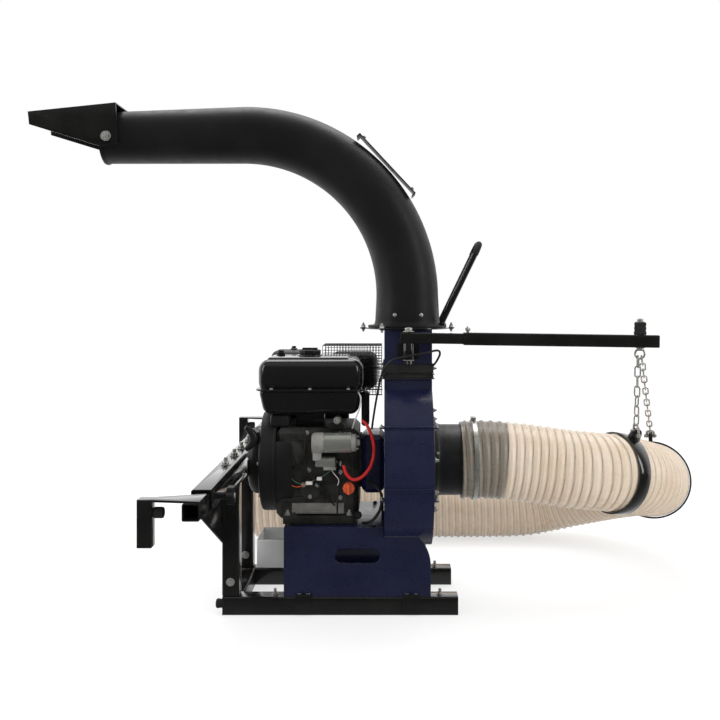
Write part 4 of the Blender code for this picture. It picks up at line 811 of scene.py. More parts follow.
def base():
    low = TUBE + GAP
    bend = 0.103
    corner = (BASE_RIGHT - bend, BASE_TOP - bend)
    outline = [(BASE_LEFT, low), (BASE_RIGHT, low), *arc(corner, bend, 0, 90, 20), (BASE_LEFT, BASE_TOP)]
    slot = [*arc((-0.0335, 0.161), 0.020, -90, 90, 12), *arc((-0.1165, 0.161), 0.020, 90, 270, 12)]
    shapes = []
    for side in (-1, 1):
        y = side * BASE_OUT
        cheek = plate(outline, "Y", y - SHEET_T / 2, y + SHEET_T / 2)
        drum = plate(scroll(-0.002), "X", -0.004, BASE_RIGHT + 0.02)
        hole = plate(slot, "Y", y - 0.01, y + 0.01)
        shapes.append(soften(cut(cheek, hole, drum), 0.0007, 2, 50))
        inward = side * (BASE_OUT - 0.040)
        shapes.append(block((BASE_LEFT, y, low), (BASE_RIGHT, inward, low + SHEET_T), 0.0006))
    shapes.append(block((BASE_LEFT, -BASE_OUT, BASE_TOP - SHEET_T), (-0.010, BASE_OUT, BASE_TOP), 0.0008))
    piece("base_sheet", joined(shapes), NAVY, "machine", ["base_frame"])
    clamps, heads = [], []
    face = RAIL_Y + TUBE / 2 + GAP
    top = low + 0.0075
    for side in (-1, 1):
        out = side * (face + 0.005)
        inward = side * (BASE_OUT - 0.010)
        for x in CLAMP_XS:
            clamps.append(block((x - 0.022, side * face, 0.003), (x + 0.022, out, low + 0.005), 0.0012))
            clamps.append(block((x - 0.022, inward, low + SHEET_T), (x + 0.022, out, top), 0.0012))
            heads += [((x + off, side * (face - 0.008), top), (0, 0, 1)) for off in (-0.012, 0.012)]
    piece("rail_clamps", joined(clamps), POWDER, "machine", ["base_frame"])
    bolts("rail_clamp_bolts", 0.0062, heads, "machine", stud=0.012)
    corners = [((x, y, BASE_TOP), (0, 0, 1)) for x in (-0.262, -0.030) for y in (-0.140, 0.140)]
    bolts("deck_bolts", 0.0055, corners, "machine", DARK_ALLOY)


# Blower


def blower():
    housing = plate(scroll(0), "X", DRUM_LEFT, DRUM_RIGHT)
    room = plate(scroll(SHEET_T, 0.01), "X", DRUM_LEFT + SHEET_T, DRUM_RIGHT - SHEET_T)
    access = rod((DRUM_RIGHT - 0.01, 0, SHAFT_Z), (DRUM_RIGHT + 0.01, 0, SHAFT_Z), 0.140, 64)
    shaft = rod((DRUM_LEFT - 0.01, 0, SHAFT_Z), (DRUM_LEFT + 0.01, 0, SHAFT_Z), 0.0167, 32)
    shapes = [soften(cut(housing, room, access, shaft), 0.0012, 3, 50)]
    for z in (0.514, 0.355):
        reach = math.sqrt(DRUM_R**2 - (z - SHAFT_Z) ** 2)
        for low, high in ((-0.004, -0.0008), (0.0004, 0.0036)):
            corner = (DRUM_LEFT - 0.0005, -reach - 0.0045, z + low)
            shapes.append(block(corner, (DRUM_RIGHT + 0.0005, -reach + 0.004, z + high), 0.0006))
    places = []
    for z, y in LUG_ROWS:
        for x, out in ((DRUM_LEFT, -1), (DRUM_RIGHT, 1)):
            shapes.append(block((x, y, z - 0.003), (x + out * 0.012, y + 0.045, z), 0.0006))
            places.append(((x + out * 0.007, y + 0.012, z), (0, 0, 1)))
    piece("blower_drum", joined(shapes), NAVY, "machine", ["blower_housing"])
    bolts("drum_lug_bolts", 0.0048, places, "machine", stud=0.008)
    spots = [((x, -0.2215, 0.4785), (0, -1, 0.3)) for x in (0.018, 0.032, 0.096, 0.110)]
    bolts("drum_weld_spots", 0.0022, spots, "machine", NAVY)
    duct()
    inlet()


def round_duct(out, low, high, bevel=0, segments=2):
    """A block round the duct, wider than it by out on each side."""
    corner = (DRUM_LEFT - out, -DUCT_HALF - out, low)
    return block(corner, (DRUM_RIGHT + out, DUCT_HALF + out, high), bevel, segments)


def duct():
    walls = cut(round_duct(0, DUCT_LOW, DUCT_HIGH), round_duct(-SHEET_T, DUCT_LOW - 0.01, DUCT_HIGH + 0.01))
    piece("duct_walls", soften(walls, 0.0008, 2), NAVY, "machine", ["outlet_duct"])
    profile = mm((86, 0), (120, 0), (120.5, 1), (120.5, 3), (120, 4), (86, 4), (86, 0))
    ring = turned(profile, (CHUTE_X, 0, DUCT_HIGH), (0, 0, 1), 72)
    piece("turntable_ring", ring, POWDER, "machine", ["outlet_duct"])
    shapes = []
    for z in (0.6350, 0.6475):
        lip = cut(round_duct(0.0065, z, z + 0.0025), round_duct(0.0006, z - 0.01, z + 0.01))
        shapes.append(soften(lip, 0.0005, 2))
    piece("neck_flanges", joined(shapes), STEEL, "machine")
    out = 0.0036
    wrap = [round_duct(out, 0.6502, 0.6762, 0.0035, 3), round_duct(out, 0.6378, 0.6473, 0.002, 2)]
    band = cut(joined(wrap), round_duct(0.0005, 0.62, 0.69))
    piece("neck_band", band, RUBBER, "machine", ["duct_seal_band"])
    places = []
    for x, way in ((DRUM_LEFT, -1), (DRUM_RIGHT, 1)):
        places += [((x + way * out, y, 0.663), (way, 0, 0)) for y in (-0.085, 0.085)]
    bolts("neck_bolts", 0.0048, places, "machine", stud=0.010)
    pads, heads, ears = [], [], []
    for angle in (0, 55, 180, 235):
        turn = math.radians(angle)
        x = CHUTE_X + TURNTABLE_BOLT_R * math.cos(turn)
        y = TURNTABLE_BOLT_R * math.sin(turn)
        ears.append(rod((x, y, DUCT_HIGH + 0.0002), (x, y, DUCT_HIGH + 0.0040), 0.0095, 28, bevel=0.0005))
        profile = mm((3, 0), (6.2, 0), (6.2, 4.5), (3, 4.5), (3, 0))
        pads.append(turned(profile, (x, y, DUCT_HIGH + 0.0041), (0, 0, 1), 20))
        heads.append(((x, y, DUCT_HIGH + 0.0087), (0, 0, 1)))
        heads.append(((x, y, DUCT_HIGH + 0.0001), (0, 0, -1)))
    piece("turntable_ears", joined(ears), POWDER, "machine")
    piece("turntable_pads", joined(pads), NYLON, "machine")
    bolts("turntable_bolts", 0.0050, heads, "machine", stud=0.009)


def inlet():
    left = DRUM_RIGHT + GAP
    profile = mm((97.3, 0), (155, 0), (156, 1), (156, 5), (155, 6), (97.3, 6), (97.3, 0))
    disc = turned(profile, (left, 0, SHAFT_Z), (1, 0, 0), 96)
    piece("inlet_disc", disc, POWDER, "machine", ["inlet_plate"])
    places = round_shaft(left + 0.006, 0.146, [27 + 36 * i for i in range(10)])
    bolts("inlet_plate_bolts", 0.0058, places, "machine", stud=0.011)
    start = left + 0.0063
    profile = mm((97.3, 0), (122, 0), (122.5, 1), (122.5, 5), (121, 6.2), (107.5, 8.5), (103.5, 12),
                 (101.2, 18), (100.3, 26), (100.3, 157), (99.5, 159), (98.2, 159), (97.3, 157), (97.3, 0))
    collar = turned(profile, (start, 0, SHAFT_Z), (1, 0, 0), 96)
    piece("inlet_spigot", collar, PLASTIC, "machine", ["inlet_collar"])
    places = round_shaft(start + 0.006, 0.1165, (18, 90, 162, 234, 306))
    bolts("collar_bolts", 0.0042, places, "machine", stud=0.007)
    dressed("impeller", STEEL, 0.0006, "impeller_shaft")
    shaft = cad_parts["crankshaft"]
    shaft.data.materials.clear()
    shaft.data.materials.append(STEEL)
    dressed("engine_adapter", NAVY, 0.0012)
    dressed("boom_bracket", POWDER)


# Chute


def chute_rings(steps):
    """The chute's centre line with its radius at each point."""
    base_r, foot_r, bend_r, end_r = CHUTE_RADII
    rings = []
    for i in range(7):
        t = i / 6
        place = Vector((CHUTE_X, 0, CHUTE_FOOT + (BEND_START - CHUTE_FOOT) * t))
        rings.append((place, base_r + (foot_r - base_r) * t))
    start = CHUTE_X - BEND_R
    for i in range(1, steps + 1):
        angle = math.pi / 2 * i / steps
        radius = foot_r + (bend_r - foot_r) * i / steps
        place = Vector((start + BEND_R * math.cos(angle), 0, BEND_START + BEND_R * math.sin(angle)))
        rings.append((place, radius))
    top = BEND_START + BEND_R
    for i in range(1, 9):
        t = i / 8
        place = Vector((start + (CHUTE_END - start) * t, 0, top - CHUTE_DROOP * t))
        rings.append((place, bend_r + (end_r - bend_r) * t))
    return rings


def chute():
    rings = chute_rings(40)
    centres = [place for place, _ in rings]
    radii = [radius for _, radius in rings]
    body = pipe("chute_body", centres, 0, len(centres) - 1, 88, lambda i, turn: radii[i],
                lambda i, turn: radii[i] - CHUTE_WALL, (0, 1, 0))
    profile = mm((90.5, 0), (112, 0), (112.5, 1), (112.5, 5), (112, 6), (97.5, 7.5), (94, 11), (92.5, 18))
    flange = turned(profile, (CHUTE_X, 0, CHUTE_FOOT), (0, 0, 1), 96)
    profile = mm((72.5, -9), (75.5, -8), (76.5, -4), (75.5, 0), (72.5, 1))
    lip = turned(profile, (CHUTE_END, 0, BEND_START + BEND_R - CHUTE_DROOP), (-1, 0, 0), 64)
    shapes = joined([body, flange, lip])
    piece("chute_moulding", shapes, MATTE, "chute_assembly", ["chute"])
    places = []
    for angle in (-114, -66, 66, 114):
        turn = math.radians(angle)
        way = Vector((math.cos(turn), math.sin(turn), 0))
        places.append(facing(Vector((CHUTE_X, 0, 0.811)) + way * 0.0908, way))
    profile = mm((0.1, 3.5), (2.5, 3.4), (4.5, 2.6), (5.8, 0.8), (6, 0))
    screw = homed(turned(profile, (0, 0, 0), (0, 0, 1), 20))
    piece("chute_screws", copies(screw, places), ZINC, "chute_assembly")
    dressed("chute_hatch", MATTE, 0.0008, "chute_assembly")
    hatch_screws()
    handle()
    dressed("deflector_hood", POWDER, 0.0008, "deflector")
    places = [((-0.774, side * 0.0925, 1.308), (0, side, 0)) for side in (-1, 1)]
    bolts("hood_pivot_nuts", 0.0105, places, "deflector", stud=0.012)


def hatch_screws():
    angle = math.radians(HATCH_ANGLE)
    out = Vector((math.cos(angle), 0, math.sin(angle)))
    along = Vector((-math.sin(angle), 0, math.cos(angle)))
    radius = CHUTE_RADII[1] + (CHUTE_RADII[2] - CHUTE_RADII[1]) * HATCH_ANGLE / 90
    surface = Vector((CHUTE_X - BEND_R, 0, BEND_START)) + out * (BEND_R + radius + 0.009)
    spots = [(a, b) for a in (-0.100, 0.100) for b in (-0.024, 0.024)]
    places = [(surface + along * a + Vector((0, b, 0)), out) for a, b in spots]
    bolts("hatch_screws", 0.0055, places, "chute_assembly")


def handle():
    """A bent round bar that stands on two feet beside the chute."""
    foot = CHUTE_X + 0.098
    top = CHUTE_FOOT + 0.0063
    bend = 0.030
    half = 0.045
    high = 0.230
    lean = 0.106
    path, feet = [], []
    for side in (-1, 1):
        y = side * half
        leg = [(foot, y, top), (foot, y, top + 0.008), (foot + 0.004, y, top + 0.018)]
        for i in range(9):
            angle = math.pi / 2 * i / 8
            rise = high - bend * (1 - math.sin(angle))
            leg.append((foot + lean * rise / high, side * (half - bend * (1 - math.cos(angle))), top + rise))
        path += leg if side < 0 else leg[::-1]
        feet.append(rod((foot, y, top), (foot, y, top + 0.006), 0.011, 24, bevel=0.001))
    loop = joined([swept(path, 0.008, 16), *feet])
    piece("handle_loop", loop, POWDER, "chute_assembly", ["turn_handle"])
    grip = swept([p for p in path if p[2] > top + 0.12], 0.0092, 16)
    piece("handle_grip", grip, RUBBER, "chute_assembly")


# Boom, chains and straps


def drooped(obj):
    return spun(obj, at((CHUTE_X, BOOM_Y, BOOM_Z)), BOOM_DROOP, "Y")


def link(half_long, half_wide, wire):
    """One chain link about the origin, long side on X."""
    points = []
    for way in (1, -1):
        for k in range(7):
            turn = math.pi / 2 - math.pi * k / 6
            reach = half_long - half_wide + half_wide * math.cos(turn)
            points.append((way * reach - LINE_X, way * half_wide * math.sin(turn) - LINE_Y, 0))
    return swept(points, wire, 8, cyclic=True)


def chain(start, end, last):
    """Links from one wire's centre to another, twisted evenly until the last one's flat faces last."""
    along = end - start
    run = along.length - 2 * CHAIN_WIRE
    count = max(3, round(run / CHAIN_PITCH))
    pitch = (run + CHAIN_BITE) / count
    along.normalize()
    first = Vector((1, 0, 0))
    first = (first - along * first.dot(along)).normalized()
    quarter = math.pi / 2
    apart = math.atan2(along.dot(first.cross(last)), first.dot(last))
    rest = (apart - (count - 1) * quarter + quarter) % math.pi - quarter
    half_long = pitch / 2 + CHAIN_WIRE - CHAIN_BITE / 2
    places = []
    for i in range(count):
        middle = start + along * (half_long + pitch * i)
        normal = Matrix.Rotation((quarter + rest / (count - 1)) * i, 3, along) @ first
        places.append(oriented(along, normal, middle))
    return copies(link(half_long, LINK_HALF - CHAIN_WIRE, CHAIN_WIRE), places)


def boom():
    dressed("boom_arm", POWDER, 0.0009, "boom", segments=3)
    dressed("boom_sleeve", POWDER, 0.0009, "boom", segments=3)
    nuts = [((CHUTE_X, BOOM_Y, BOOM_Z + 0.0165), (0, 0, 1)), ((CHUTE_X, BOOM_Y, 0.6905), (0, 0, -1))]
    bolts("boom_pivot_nuts", 0.0115, nuts, "boom", stud=0.012)
    face = BOOM_Z + BOOM_HALF + GAP
    dressed("boom_lock_screw", ZINC, 0.0005, "boom_lock")
    profile = mm((5.6, 0), (15.5, 0), (17, 2), (16.2, 8), (15, 12), (16.2, 16), (16.2, 19), (15, 23),
                 (16.2, 27), (15.5, 32.5), (13.5, 34), (5.6, 34), (5.6, 0))
    buffer = drooped(turned(profile, (EYE_X, BOOM_Y, face), (0, 0, 1), 40))
    piece("end_buffer", buffer, RUBBER, "boom", ["boom_end_buffer"])
    points = []
    for i in range(32):
        turn = 2 * math.pi * i / 32
        points.append((EYE_X + EYE_R * math.cos(turn), BOOM_Y, EYE_Z + EYE_R * math.sin(turn)))
    ring = swept(points, EYE_WIRE, 10, cyclic=True)
    stem = rod((EYE_X, BOOM_Y, EYE_Z + EYE_R), (EYE_X, BOOM_Y, face + 0.044), 0.005, 20, bevel=0.0006)
    piece("eye_bolt", drooped(joined([ring, stem])), ZINC, "boom", ["boom_eye_bolt"])
    nuts = [((EYE_X, BOOM_Y, face + 0.0252), (0, 0, 1)), ((EYE_X, BOOM_Y, 0.7235), (0, 0, -1))]
    bolts("eye_bolt_nuts", 0.0092, nuts, "boom")
    path = smooth_path(hose_route(), 0.005)
    for number, (degrees, offset) in enumerate(zip(STRAP_BENDS, (-0.005, 0.005)), 1):
        strap(path, number, degrees, offset)


def strap(path, number, degrees, offset):
    """One strap round the hose, with its shackle and the chain up to the eye."""
    pin = Vector((CHUTE_X, BOOM_Y, BOOM_Z))
    eye = pin + Matrix.Rotation(BOOM_DROOP, 3, "Y") @ (Vector((EYE_X, BOOM_Y, EYE_Z)) - pin)
    angle = math.radians(degrees)
    want = (HOSE_BEND_X + HOSE_BEND_R * math.sin(angle), HOSE_BEND_R * (1 - math.cos(angle)))
    near = min(range(1, len(path) - 1), key=lambda i: math.dist(path[i][:2], want))
    middle = path[near]
    tangent = (path[near + 1] - path[near - 1]).normalized()
    wire = eye + Vector((offset, 0, -math.sqrt(EYE_R**2 - offset**2)))
    pull = wire - middle
    up = (pull - tangent * pull.dot(tangent)).normalized()
    across = tangent.cross(up)
    outside = STRAP_FIT + STRAP_T
    hole = middle + up * (outside + LUG_HIGH - LUG_HOLE_DOWN)
    way = (hole - wire).normalized()
    bow = hole - way * SHACKLE_LONG
    start = wire - way * (EYE_WIRE + CHAIN_WIRE + 0.002)
    links = chain(start, bow + way * (SHACKLE_WIRE + CHAIN_WIRE - CHAIN_BITE), across)
    piece(f"chain_links_{number}", links, ZINC, "boom", [f"chain_{number}"])
    half = LUG_HALF + 0.0015 + SHACKLE_WIRE
    legs = [hole + across * half + way * 0.002]
    for i in range(13):
        turn = math.pi * i / 12
        legs.append(bow + way * half * (1 - math.sin(turn)) + across * half * math.cos(turn))
    legs.append(hole - across * half + way * 0.002)
    parts = [swept(legs, SHACKLE_WIRE, 12)]
    rods = (
        (-half - 0.0038, -half + 0.0038, 0.0068, 0.001),
        (half - 0.0038, half + 0.0038, 0.0068, 0.001),
        (-half - 0.007, half + 0.007, 0.0042, 0.0006),
        (-half - 0.009, -half - 0.0045, 0.0062, 0.0008),
    )
    for a, b, radius, bevel in rods:
        parts.append(rod(hole + across * a, hole + across * b, radius, 20, bevel=bevel))
    piece(f"shackle_{number}", joined(parts), ZINC, "boom", [f"chain_{number}"])
    inner = HOSE_R + 0.0012
    thin = outside - 0.0004
    edge = STRAP_HALF - 0.0006
    profile = [(inner, STRAP_HALF), (inner, -STRAP_HALF), (thin, -STRAP_HALF), (outside, -edge),
               (outside, edge), (thin, STRAP_HALF), (inner, STRAP_HALF)]
    band = turned(profile, middle, tangent, 96)
    rim = [(b, STRAP_FIT + high) for b, high in mm((-21, 2), (21, 2), (20.5, 8), (18, 24))]
    rim += arc((0.0, STRAP_FIT + 0.023), 0.0165, 20, 160, 12)
    rim += [(b, STRAP_FIT + high) for b, high in mm((-18, 24), (-20.5, 8))]
    lug = homed(plate(rim, "X", -LUG_HALF, LUG_HALF, 0.0012))
    lug.data.transform(oriented(across, up, middle))
    bore = rod(hole - across * 0.012, hole + across * 0.012, 0.0052, 20)
    shapes = joined([band, cut(lug, bore)])
    piece(f"strap_band_{number}", shapes, POWDER, "boom", [f"hose_strap_{number}"])


def clamp():
    fit = 0.1136
    x = HOSE_START + 0.038
    side = [(-0.006, 0.0), (-0.006, 0.0011), (-0.0052, 0.0013), (0.0052, 0.0013), (0.006, 0.0011)]
    profile = [(fit, 0.006), *[(fit + out, along) for along, out in side], (fit, 0.006)]
    band = turned(profile, (x, 0, SHAFT_Z), (1, 0, 0), 96)
    top = SHAFT_Z + fit
    saddle = block((x - 0.0075, -0.014, top + 0.0008), (x + 0.0075, 0.014, top + 0.0095), 0.0025, 3)
    z = top + 0.0058
    screw = rod((x, -0.022, z), (x, 0.016, z), 0.0034, 20, bevel=0.0004)
    head = rod((x, -0.0265, z), (x, -0.021, z), 0.0052, 6, bevel=0.0005)
    shapes = joined([band, saddle, screw, head])
    piece("worm_clamp", shapes, CHROME, "machine", ["hose_clamp"])


# Engine


def tank():
    left, front = TANK_LOW
    right, rear = TANK_HIGH
    upper = block((left, front, 0.596), (right, rear, 0.690), 0)
    lower = block((left, front, 0.538), (right, rear, 0.612), 0)
    middle = at(((left + right) / 2, (front + rear) / 2, 0))
    taper = 0.90
    for vertex in lower.data.vertices:
        if vertex.co.z < 0.55:
            vertex.co.x = middle.x + (vertex.co.x - middle.x) * taper
            vertex.co.y = middle.y + (vertex.co.y - middle.y) * taper
    soften(upper, 0.031, 7)
    soften(lower, 0.020, 5)
    crown = block((-0.325, -0.104, 0.680), (-0.100, 0.066, 0.6945), 0.007, 4)
    lip = 0.007
    rim = rounded((left - lip, front - lip), (right + lip, rear + lip), 0.036, 8)
    seam = plate(rim, "Z", 0.6035, 0.6085, 0.0012)
    stay = block((-0.250, -0.060, 0.5003), (-0.170, 0.020, 0.545), 0.002)
    well = rod((*CAP_SPOT, 0.685), (*CAP_SPOT, 0.6975), 0.037, 48, bevel=0.002)
    shell = joined([upper, lower, crown, seam, stay, well])
    piece("tank_shell", shell, GLOSS, "machine", ["fuel_tank"], angle=50)
    profile = mm((0.1, 15.8), (6, 15.5), (8.5, 13.5), (9, 10), (8.5, 8.5), (12, 8), (12, 0))
    gauge = turned(profile, (-0.300, 0.010, 0.694), (0, 0, 1), 32)
    piece("tank_gauge", gauge, PLASTIC, "machine", ["fuel_tank"])
    top = 0.7113
    cap = plate(lobed(CAP_SPOT, 0.031, 0.025, 16, 96), "Z", 0.6976, top, 0.0018)
    grip = block((-0.236, -0.025, top - 0.002), (-0.192, -0.015, top + 0.006), 0.002, 3)
    piece("tank_cap_moulding", joined([cap, grip]), PLASTIC, "tank_cap", ["fuel_cap"])
    places = [((x, -0.133, 0.6085), (0, 0, 1)) for x in (-0.310, -0.205, -0.100)]
    bolts("tank_seam_bolts", 0.0042, places, "machine")


def crankcase():
    dressed("crankcase", DARK_ALLOY, 0.0018, segments=3)
    front = CASE_FRONT + 0.004
    shapes = []
    for i in range(5):
        z = 0.280 + 0.012 * i
        shapes.append(block((-0.285, CASE_FRONT - 0.003, z), (-0.150, front, z + 0.004), 0.001))
    shapes.append(block((-0.134, CASE_FRONT - 0.0045, 0.262), (-0.128, front, 0.494), 0.001))
    cover_x, cover_z = -0.205, 0.335
    face = CASE_FRONT - 0.005
    shapes.append(rod((cover_x, face, cover_z), (cover_x, front, cover_z), 0.030, 32, bevel=0.002))
    piece("case_ribs", joined(shapes), DARK_ALLOY, "machine")
    spots = ((-0.123, 0.310), (-0.123, 0.380), (-0.123, 0.445), (-0.123, 0.485), (-0.286, 0.375),
             (-0.215, 0.488), (-0.210, 0.385))
    places = [((x, CASE_FRONT, z), (0, -1, 0)) for x, z in spots]
    for turn in (0.5, 2.6, 4.7):
        spot = (cover_x + 0.022 * math.cos(turn), face, cover_z + 0.022 * math.sin(turn))
        places.append((spot, (0, -1, 0)))
    bolts("case_bolts", 0.0048, places, "machine")
    drain = [((x, CASE_FRONT, 0.262), (0, -1, 0)) for x in (-0.250, -0.075)]
    bolts("oil_drain_plugs", 0.0085, drain, "machine", DARK_ALLOY)
    feet = [((x, side * 0.112, 0.2625), (0, 0, 1)) for x in (-0.268, -0.098) for side in (-1, 1)]
    bolts("engine_foot_bolts", 0.0072, feet, "machine", stud=0.014)
    dressed("cylinder", ALLOY)
    dressed("valve_cover", PLASTIC, 0.002, segments=3)
    bolts("lifting_eye_bolt", 0.0072, [((-0.131, CASE_FRONT - 0.018, 0.524), (0, -1, 0))], "machine")


def starter():
    y = CASE_FRONT - 0.033
    z = 0.466
    r = STARTER_R
    origin = (STARTER_LEFT, y, z)
    profile = [(0.0001, 0.034), (r * 0.97, 0.034), (r, 0.0365), (r, 0.104), (r * 0.96, 0.1065),
               (r * 0.90, 0.107), (0.0001, 0.107)]
    can = turned(profile, origin, (1, 0, 0), 56)
    piece("starter_can", can, CHROME, "machine", ["starter_motor"])
    profile = [(0.0001, 0.0), (r * 0.86, 0.0), (r * 0.98, 0.004), (r * 1.02, 0.010), (r * 1.02, 0.030),
               (r * 0.9, 0.0345), (0.0001, 0.0345)]
    nose = turned(profile, origin, (1, 0, 0), 40)
    profile = [(0.0001, 0.130), (0.007, 0.130), (0.009, 0.127), (0.010, 0.122), (r * 0.82, 0.1195),
               (r * 0.88, 0.117), (r * 0.88, 0.1065)]
    tail = turned(profile, origin, (1, 0, 0), 40)
    bracket = block((-0.199, y, z - 0.030), (-0.186, CASE_FRONT - GAP, z + 0.022), 0.003)
    neck = block((-0.196, y - 0.008, z - 0.048), (-0.172, y + 0.020, z - 0.020), 0.003)
    shapes = joined([nose, tail, bracket, neck])
    piece("starter_castings", shapes, PALE_ALLOY, "machine", ["starter_motor"])
    x = STARTER_LEFT + 0.1185
    places = [((x, y + 0.016, z + 0.014), (1, 0, 0)), ((x, y - 0.015, z - 0.014), (1, 0, 0))]
    bolts("starter_through_bolts", 0.0038, places, "machine", stud=0.008)
    profile = mm((0.1, -1), (13.5, -1), (14.5, 1), (14.5, 50), (13.5, 53), (0.1, 53))
    relay = turned(profile, (-0.188, CASE_FRONT - 0.020, RELAY_Z), (1, 0, 0), 36)
    piece("starter_relay", relay, CHROME, "machine")
    bolts("relay_post", 0.0052, [((-0.136, CASE_FRONT - 0.020, RELAY_Z), (1, 0, 0))], "machine", stud=0.014)
    lug = block((-0.1225, CASE_FRONT - 0.0335, 0.4025), (-0.1185, CASE_FRONT - 0.012, 0.4155), 0.001)
    piece("cable_lug", lug, ZINC, "machine")


def loom():
    """The thin wires clipped along the casing, with their plugs, and the small parts round them."""
    routes = (
        ("left_wire", CABLE, 0.0016, mm(
            (-262, -119, 470), (-250, -127, 430), (-238, -128, 395), (-205, -127, 372), (-165, -128, 365),
            (-134, -128, 376), (-128, -120, 398))),
        ("sensor_wire", CABLE, 0.0016, mm(
            (-258, -118, 455), (-232, -128, 418), (-228, -129, 385), (-190, -129, 362), (-150, -127, 352),
            (-118, -123, 350), (-112, -117, 340))),
        ("main_wire", CABLE, 0.0022, mm(
            (-222, -118, 505), (-216, -129, 470), (-221, -131, 430), (-214, -131, 390), (-186, -131, 356),
            (-160, -125, 318), (-138, -119, 290))),
        ("green_wire", GREEN, 0.0011, mm(
            (-266, -119, 378), (-252, -128, 362), (-232, -131, 352), (-206, -130, 356), (-176, -128, 368),
            (-150, -123, 384))),
        ("orange_wire", ORANGE, 0.0011, mm(
            (-270, -118, 372), (-262, -128, 352), (-240, -131, 343), (-218, -129, 350), (-190, -122, 362))),
        ("short_wire", NYLON, 0.0013, mm(
            (-150, -122, 392), (-138, -131, 378), (-126, -131, 362), (-130, -123, 346))),
        ("fuel_line", NYLON, 0.0019, mm(
            (-74, -121, 602.5), (-66, -133, 585), (-70, -131, 555), (-82, -124, 525), (-90, -113, 500))),
    )
    for name, look, radius, route in routes:
        piece(name, swept(smooth_path(route, 0.004), radius, 8), look, "machine")
    plugs = [block((-0.216, -0.1345, 0.349), (-0.198, -0.125, 0.358), 0.0012),
             block((-0.186, -0.134, 0.361), (-0.172, -0.124, 0.370), 0.0012)]
    piece("wire_plugs", joined(plugs), NYLON, "machine")
    box = block((-0.168, CASE_FRONT - 0.026, 0.389), (-0.133, CASE_FRONT - 0.0005, 0.4015), 0.003, 3)
    lid = block((-0.166, CASE_FRONT - 0.029, 0.391), (-0.135, CASE_FRONT - 0.025, 0.3995), 0.0012)
    piece("relay_box", joined([box, lid]), PALE_ALLOY, "machine")
    foot = block((-0.256, CASE_FRONT - 0.0045, 0.266), (-0.112, CASE_FRONT + 0.002, 0.296), 0.0025, 3)
    step = block((-0.236, CASE_FRONT - 0.0065, 0.270), (-0.142, CASE_FRONT - 0.003, 0.2765), 0.001)
    piece("casting_foot", joined([foot, step]), FOOT_ALLOY, "machine")
    boss = block((-0.156, CASE_FRONT - 0.0155, 0.4985), (-0.112, CASE_FRONT + 0.002, 0.515), 0.004, 3)
    coil = block((-0.066, -0.078, 0.5003), (-0.044, -0.020, 0.596), 0.009, 4)
    stub = block((-0.318, -0.104, 0.502), (-0.264, -0.058, 0.5365), 0.009, 4)
    piece("coil_and_boss", joined([boss, coil, stub]), PLASTIC, "machine")
    governor()
    ribs = []
    for i in range(7):
        rise = 0.0125 * i
        ribs.append(block((-0.160, 0.1055, 0.600 + rise), (-0.030, 0.112, 0.6045 + rise), 0.0015))
    piece("muffler_ribs", joined(ribs), DARK_ALLOY, "machine")


def governor():
    """The domed cover on the casing, its six spokes and the webs round it."""
    x, z = GOVERNOR
    near = 0.016
    far = 0.040
    profile = mm((0.1, 16), (20, 15.5), (30, 13), (36, 8), (38, 3), (43, 2), (43, -2))
    shapes = [turned(profile, (x, CASE_FRONT, z), (0, -1, 0), 48)]
    for i in range(6):
        turn = math.radians(30 + 60 * i)
        start = (x + near * math.cos(turn), CASE_FRONT - 0.0135, z + near * math.sin(turn))
        end = (x + far * math.cos(turn), CASE_FRONT - 0.003, z + far * math.sin(turn))
        shapes.append(rod(start, end, 0.0028, 12, 0.0022))
    webs = mm((-222, 470, 60, 3.5), (-200, 330, 4, 60), (-170, 330, 4, 60), (-222, 310, 56, 3.5),
              (-95, 410, 3, 90), (-106, 440, 20, 3))
    for x, z, wide, high in webs:
        corner = (x - wide / 2, CASE_FRONT - 0.006, z - high / 2)
        shapes.append(block(corner, (x + wide / 2, CASE_FRONT + 0.003, z + high / 2), 0.001))
    piece("governor_cover", joined(shapes), DARK_ALLOY, "machine")


def shroud():
    left = SHROUD_LEFT
    right = SHROUD_RIGHT
    centre = (0, SHAFT_Z)
    high = SHAFT_Z + 0.140
    outline = [*arc(centre, 0.142, 100, 320, 60), (0.205, SHAFT_Z + 0.004), (0.175, high), (0.060, high)]
    body = plate(outline, "X", left, right)
    mouth = rod((left - 0.01, 0, SHAFT_Z), (left + 0.030, 0, SHAFT_Z), 0.086, 64)
    body = soften(cut(body, mouth), 0.006, 4, 50)
    profile = mm((138.5, 0), (143.5, 0), (143.5, 6), (138.5, 6), (138.5, 0))
    rim = turned(profile, (right - 0.006, 0, SHAFT_Z), (1, 0, 0), 72)
    piece("fan_shroud", joined([body, rim]), PLASTIC, "machine", ["blower_shroud"])
    bolts("shroud_bolts", 0.005, round_shaft(left, 0.126, (130, 175, 222, 268, 312), -1), "machine")
    recoil(left)
    skirt = [*arc(centre, 0.1415, 150, 252, 40), *arc(centre, 0.1375, 252, 150, 40)]
    ring = plate(skirt, "X", right + GAP, right + 0.046, 0.0015)
    piece("shroud_skirt", ring, PLASTIC, "machine")
    rope()


